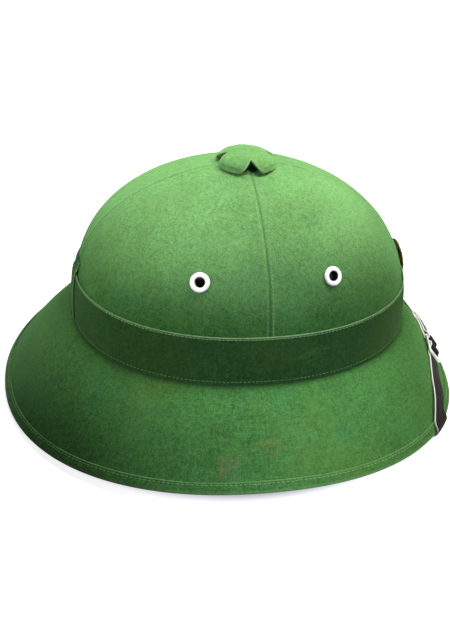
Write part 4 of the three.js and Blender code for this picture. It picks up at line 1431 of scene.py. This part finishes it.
def board_finish(name):
    """Pressed pulp board inside the hat: buff, felted, with fibres and shallow dimples."""
    finish = Finish(name, Specular_IOR_Level=0.2)
    solid = finish.solid_place()
    fibres = finish.noise(solid, 900, 4, 0.7)
    flakes = finish.node("ShaderNodeTexVoronoi", {"feature": "F1"}, {"Vector": solid, "Scale": 260})
    cloud = finish.noise(solid, 24, 3, 0.6)
    share = (0.5 + (fibres - 0.5) * 0.9 + (cloud - 0.5) * 0.8 - flakes * 0.15).limited()
    base = finish.blend(share, colour(0.20, 0.15, 0.085), colour(0.42, 0.34, 0.21))
    specks = finish.noise(solid, 1500, 1).between(0.68, 0.74)
    base = finish.blend(specks * 0.6, base, colour(0.16, 0.11, 0.06))
    finish.link("Base Color", base)
    finish.link("Roughness", 0.88 + fibres * 0.1)
    finish.relief(fibres * 0.7 + flakes * 0.4 + cloud * 0.3, 0.0004, 0.7)
    return finish.material


# Studio

HELMET = (0, 0, 0.08)
LAMPS = [
    {"name": "key", "at": (0.77, 0, 1), "to": HELMET, "size": 0.4, "watts": 12, "tint": (1, 0.95, 0.78)},
    {"name": "overhead", "at": (0.05, 0, 0.46), "to": HELMET, "size": 0.2, "watts": 1.5},
    {"name": "rear", "at": (0.1, 1.2, 0.9), "to": HELMET, "size": 0.5, "watts": 3.5},
    {"name": "rear_left", "at": (-0.35, 1.1, 0.45), "to": HELMET, "size": 0.5, "watts": 2.5},
    {"name": "crown_beam", "at": (-0.75, -0.45, 0.62), "to": (-0.085, -0.03, 0.12), "cone": 14,
     "watts": 42},
    {"name": "shoulder_beam", "at": (0.55, -0.35, 0.75), "to": (0.08, -0.02, 0.145), "cone": 9,
     "watts": 14, "tint": (1, 0.82, 0.95)},
    {"name": "brim_beam", "at": (0.15, -0.95, 0.7), "to": (0.015, -0.115, 0.035), "cone": 13,
     "watts": 44, "tint": (0.95, 1, 1.2)},
]
BEAM_SOURCE = 0.035


def studio():
    """Pale floor that rises into a round backdrop and glows, painted dark under and round the helmet as a
    painted shadow; and soft lamps above, behind and to the front.
    """
    profile = [(0, 0), (3, 0), (4.2, 0.25), (5.2, 1.0), (5.8, 2.2), (6, 4.5)]
    sides = 64
    turns = [2 * math.pi * side / sides for side in range(sides)]
    points = [(reach * math.cos(turn), reach * math.sin(turn), height) for reach, height in profile[1:]
              for turn in turns]
    faces = [tuple(range(sides))]
    for row in range(len(profile) - 2):
        for side in range(sides):
            onward = (side + 1) % sides
            faces.append((row * sides + side, row * sides + onward, (row + 1) * sides + onward,
                          (row + 1) * sides + side)[::-1])
    floor_mesh = bpy.data.meshes.new("floor")
    floor_mesh.from_pydata(points, [], faces)
    floor_mesh.polygons.foreach_set("use_smooth", [True] * len(faces))
    floor = bpy.data.objects.new("floor", floor_mesh)
    bpy.context.scene.collection.objects.link(floor)
    paint = Finish("pale_floor", Roughness=0.9, Specular_IOR_Level=0.0, Emission_Strength=1.0)
    x, y, _ = paint.split(paint.solid_place())
    # Painted shadow: under and just round the helmet the floor is dark and gives no glow; past the brim it
    # glows, brighter further out.
    away = ((x * (1 / 0.16)) ** 2 + (y * (1 / 0.139)) ** 2).math("SQRT")
    glow_beyond_painted_shadow = away.between(0.88, 1.01) * 0.85 + away.between(1.0, 4.0) * 0.15
    paint.link("Base Color", paint.blend(glow_beyond_painted_shadow, colour(0.1, 0.1, 0.1), colour(0.8, 0.8, 0.8)))
    paint.link("Emission Color", paint.blend(glow_beyond_painted_shadow, colour(0, 0, 0), colour(1, 1, 1)))
    floor_mesh.materials.append(paint.material)
    floor.visible_diffuse = False

    world = bpy.data.worlds.new("white_room")
    world.use_nodes = True
    world.node_tree.nodes["Background"].inputs["Color"].default_value = colour(1, 1, 1)
    world.node_tree.nodes["Background"].inputs["Strength"].default_value = 0.045
    bpy.context.scene.world = world
    bpy.context.scene.view_settings.view_transform = "Standard"
    for lamp in LAMPS:
        light = bpy.data.lights.new(lamp["name"], "SPOT" if "cone" in lamp else "AREA")
        light.energy = lamp["watts"]
        light.color = lamp.get("tint", (1, 1, 1))
        if "cone" in lamp:
            light.spot_size = math.radians(lamp["cone"])
            light.spot_blend = 1
            light.shadow_soft_size = BEAM_SOURCE
        else:
            light.shape = "DISK"
            light.size = lamp["size"]
        stand = bpy.data.objects.new(lamp["name"], light)
        stand.location = lamp["at"]
        stand.rotation_euler = (Vector(lamp["to"]) - stand.location).to_track_quat("-Z", "Y").to_euler()
        stand.visible_camera = False
        bpy.context.scene.collection.objects.link(stand)


def camera():
    """Camera at the photograph's angle, above the floor."""
    azimuth, elevation, roll = math.radians(-13.61), math.radians(31.72), math.radians(4.42)
    back = Vector((math.sin(azimuth) * math.cos(elevation), -math.cos(azimuth) * math.cos(elevation),
                   math.sin(elevation)))
    right = Vector((math.cos(azimuth), math.sin(azimuth), 0))
    up = back.cross(right)
    level_right, level_up = right.copy(), up.copy()
    right = level_right * math.cos(roll) + level_up * math.sin(roll)
    up = level_up * math.cos(roll) - level_right * math.sin(roll)
    lens = bpy.data.cameras.new("camera")
    lens.sensor_width = 36
    lens.sensor_fit = "AUTO"
    lens.lens = 903.11 / 630 * 36
    lens.shift_x = (225 - 235.5) / 630
    lens.shift_y = (286.93 - 315) / 630
    view = bpy.data.objects.new("camera", lens)
    place = Vector((0, 0, 0.0689)) + back * 0.6257
    view.matrix_world = Matrix.Translation(place) @ Matrix((right, up, back)).transposed().to_4x4()
    bpy.context.scene.collection.objects.link(view)
    bpy.context.scene.camera = view


# The helmet

BRIM_STAINS = [
    {"x": -0.027, "y": -0.1265, "long": 0.011, "wide": 0.007, "grain": 260, "strength": 0.42,
     "colour": colour(0.19, 0.11, 0.035)},
    {"x": -0.001, "y": -0.1215, "long": 0.013, "wide": 0.006, "grain": 230, "strength": 0.3,
     "colour": colour(0.2, 0.13, 0.04)},
    {"x": -0.0605, "y": -0.1218, "long": 0.004, "wide": 0.0022, "grain": 500, "strength": 0.8,
     "colour": colour(0.03, 0.05, 0.015)},
]


def build():
    # The crown's cloth is painted darker low on its walls and lighter towards its top: painted light and
    # shade.
    cover = cloth_finish("green_crown_cloth", colour(0.026, 0.094, 0.020), colour(0.20, 0.36, 0.16),
                         painted_top_light=colour(0.110, 0.255, 0.083))
    # The brim and binding get their own copy of the green cloth, coloured darker than the crown's upper
    # cloth: painted shade for the brim's lower light.
    brim = cloth_finish("green_brim_cloth_painted_shade", colour(0.040, 0.130, 0.030), colour(0.16, 0.30, 0.12),
                        stains=BRIM_STAINS)
    band = cloth_finish("green_band_cloth", colour(0.015, 0.050, 0.011), colour(0.16, 0.28, 0.12), sheen=0.16)
    thread = thread_finish("pale_thread", colour(0.15, 0.29, 0.11))
    green_thread = thread_finish("green_thread", colour(0.07, 0.17, 0.055))
    leather = leather_finish("black_strap_leather")
    enamel = enamel_finish("white_eyelet_enamel")
    nickel = metal_finish("bright_nickel", colour(0.9, 0.9, 0.88), colour(0.5, 0.49, 0.45), 0.18)
    brass = badge_finish("aged_brass")
    board = board_finish("pressed_board")
    anchors = {"right": anchor_frame(-1), "left": anchor_frame(1)}
    slide = slide_frame()
    tree = stitch_tree()
    edge_line = binding_stitches(BINDING_STITCH_RUN, LAYER)
    top_line = band_stitches(BAND_HEIGHT - BAND_TOP_STITCH, LAYER - 0.02)
    foot_line = band_stitches(BAND_FOOT_STITCH, LAYER - 0.1)
    pieces = {
        "cover_cloth": [*crown_gores(cover), brim_cloth(brim), edge_binding(brim), vent_cap(cover),
                        sewn("seam_topstitching", seam_stitches(), 2.3, 1.75, 0.42, thread, tree, 3),
                        sewn("binding_stitching", [edge_line], 2.9, 2.1, 0.45, thread, tree, 4)],
        "band_cloth": [hat_band(band), band_tab(band),
                       sewn("band_top_stitching", [top_line], 2.5, 2.25, 0.42, thread, tree, 1),
                       sewn("band_foot_stitching", [foot_line], 2.6, 1.8, 0.42, green_thread, tree, 2),
                       sewn("tab_stitching", tab_stitches(), 2.5, 1.8, 0.42, green_thread, tree, 5)],
        "shell_board": [moulded_shell(board, anchors)],
        "white_enamel": list(eyelets(enamel)),
        "strap_leather": [short_strap(leather, anchors["right"], slide),
                          long_strap(leather, anchors["left"], slide)],
        "nickel": [strap_slide(nickel, slide), *rivets(nickel, anchors)],
        "brass": [badge_disc(brass)],
    }
    for slot, made in pieces.items():
        for piece in made:
            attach(piece, "root")


build()
studio()
camera()
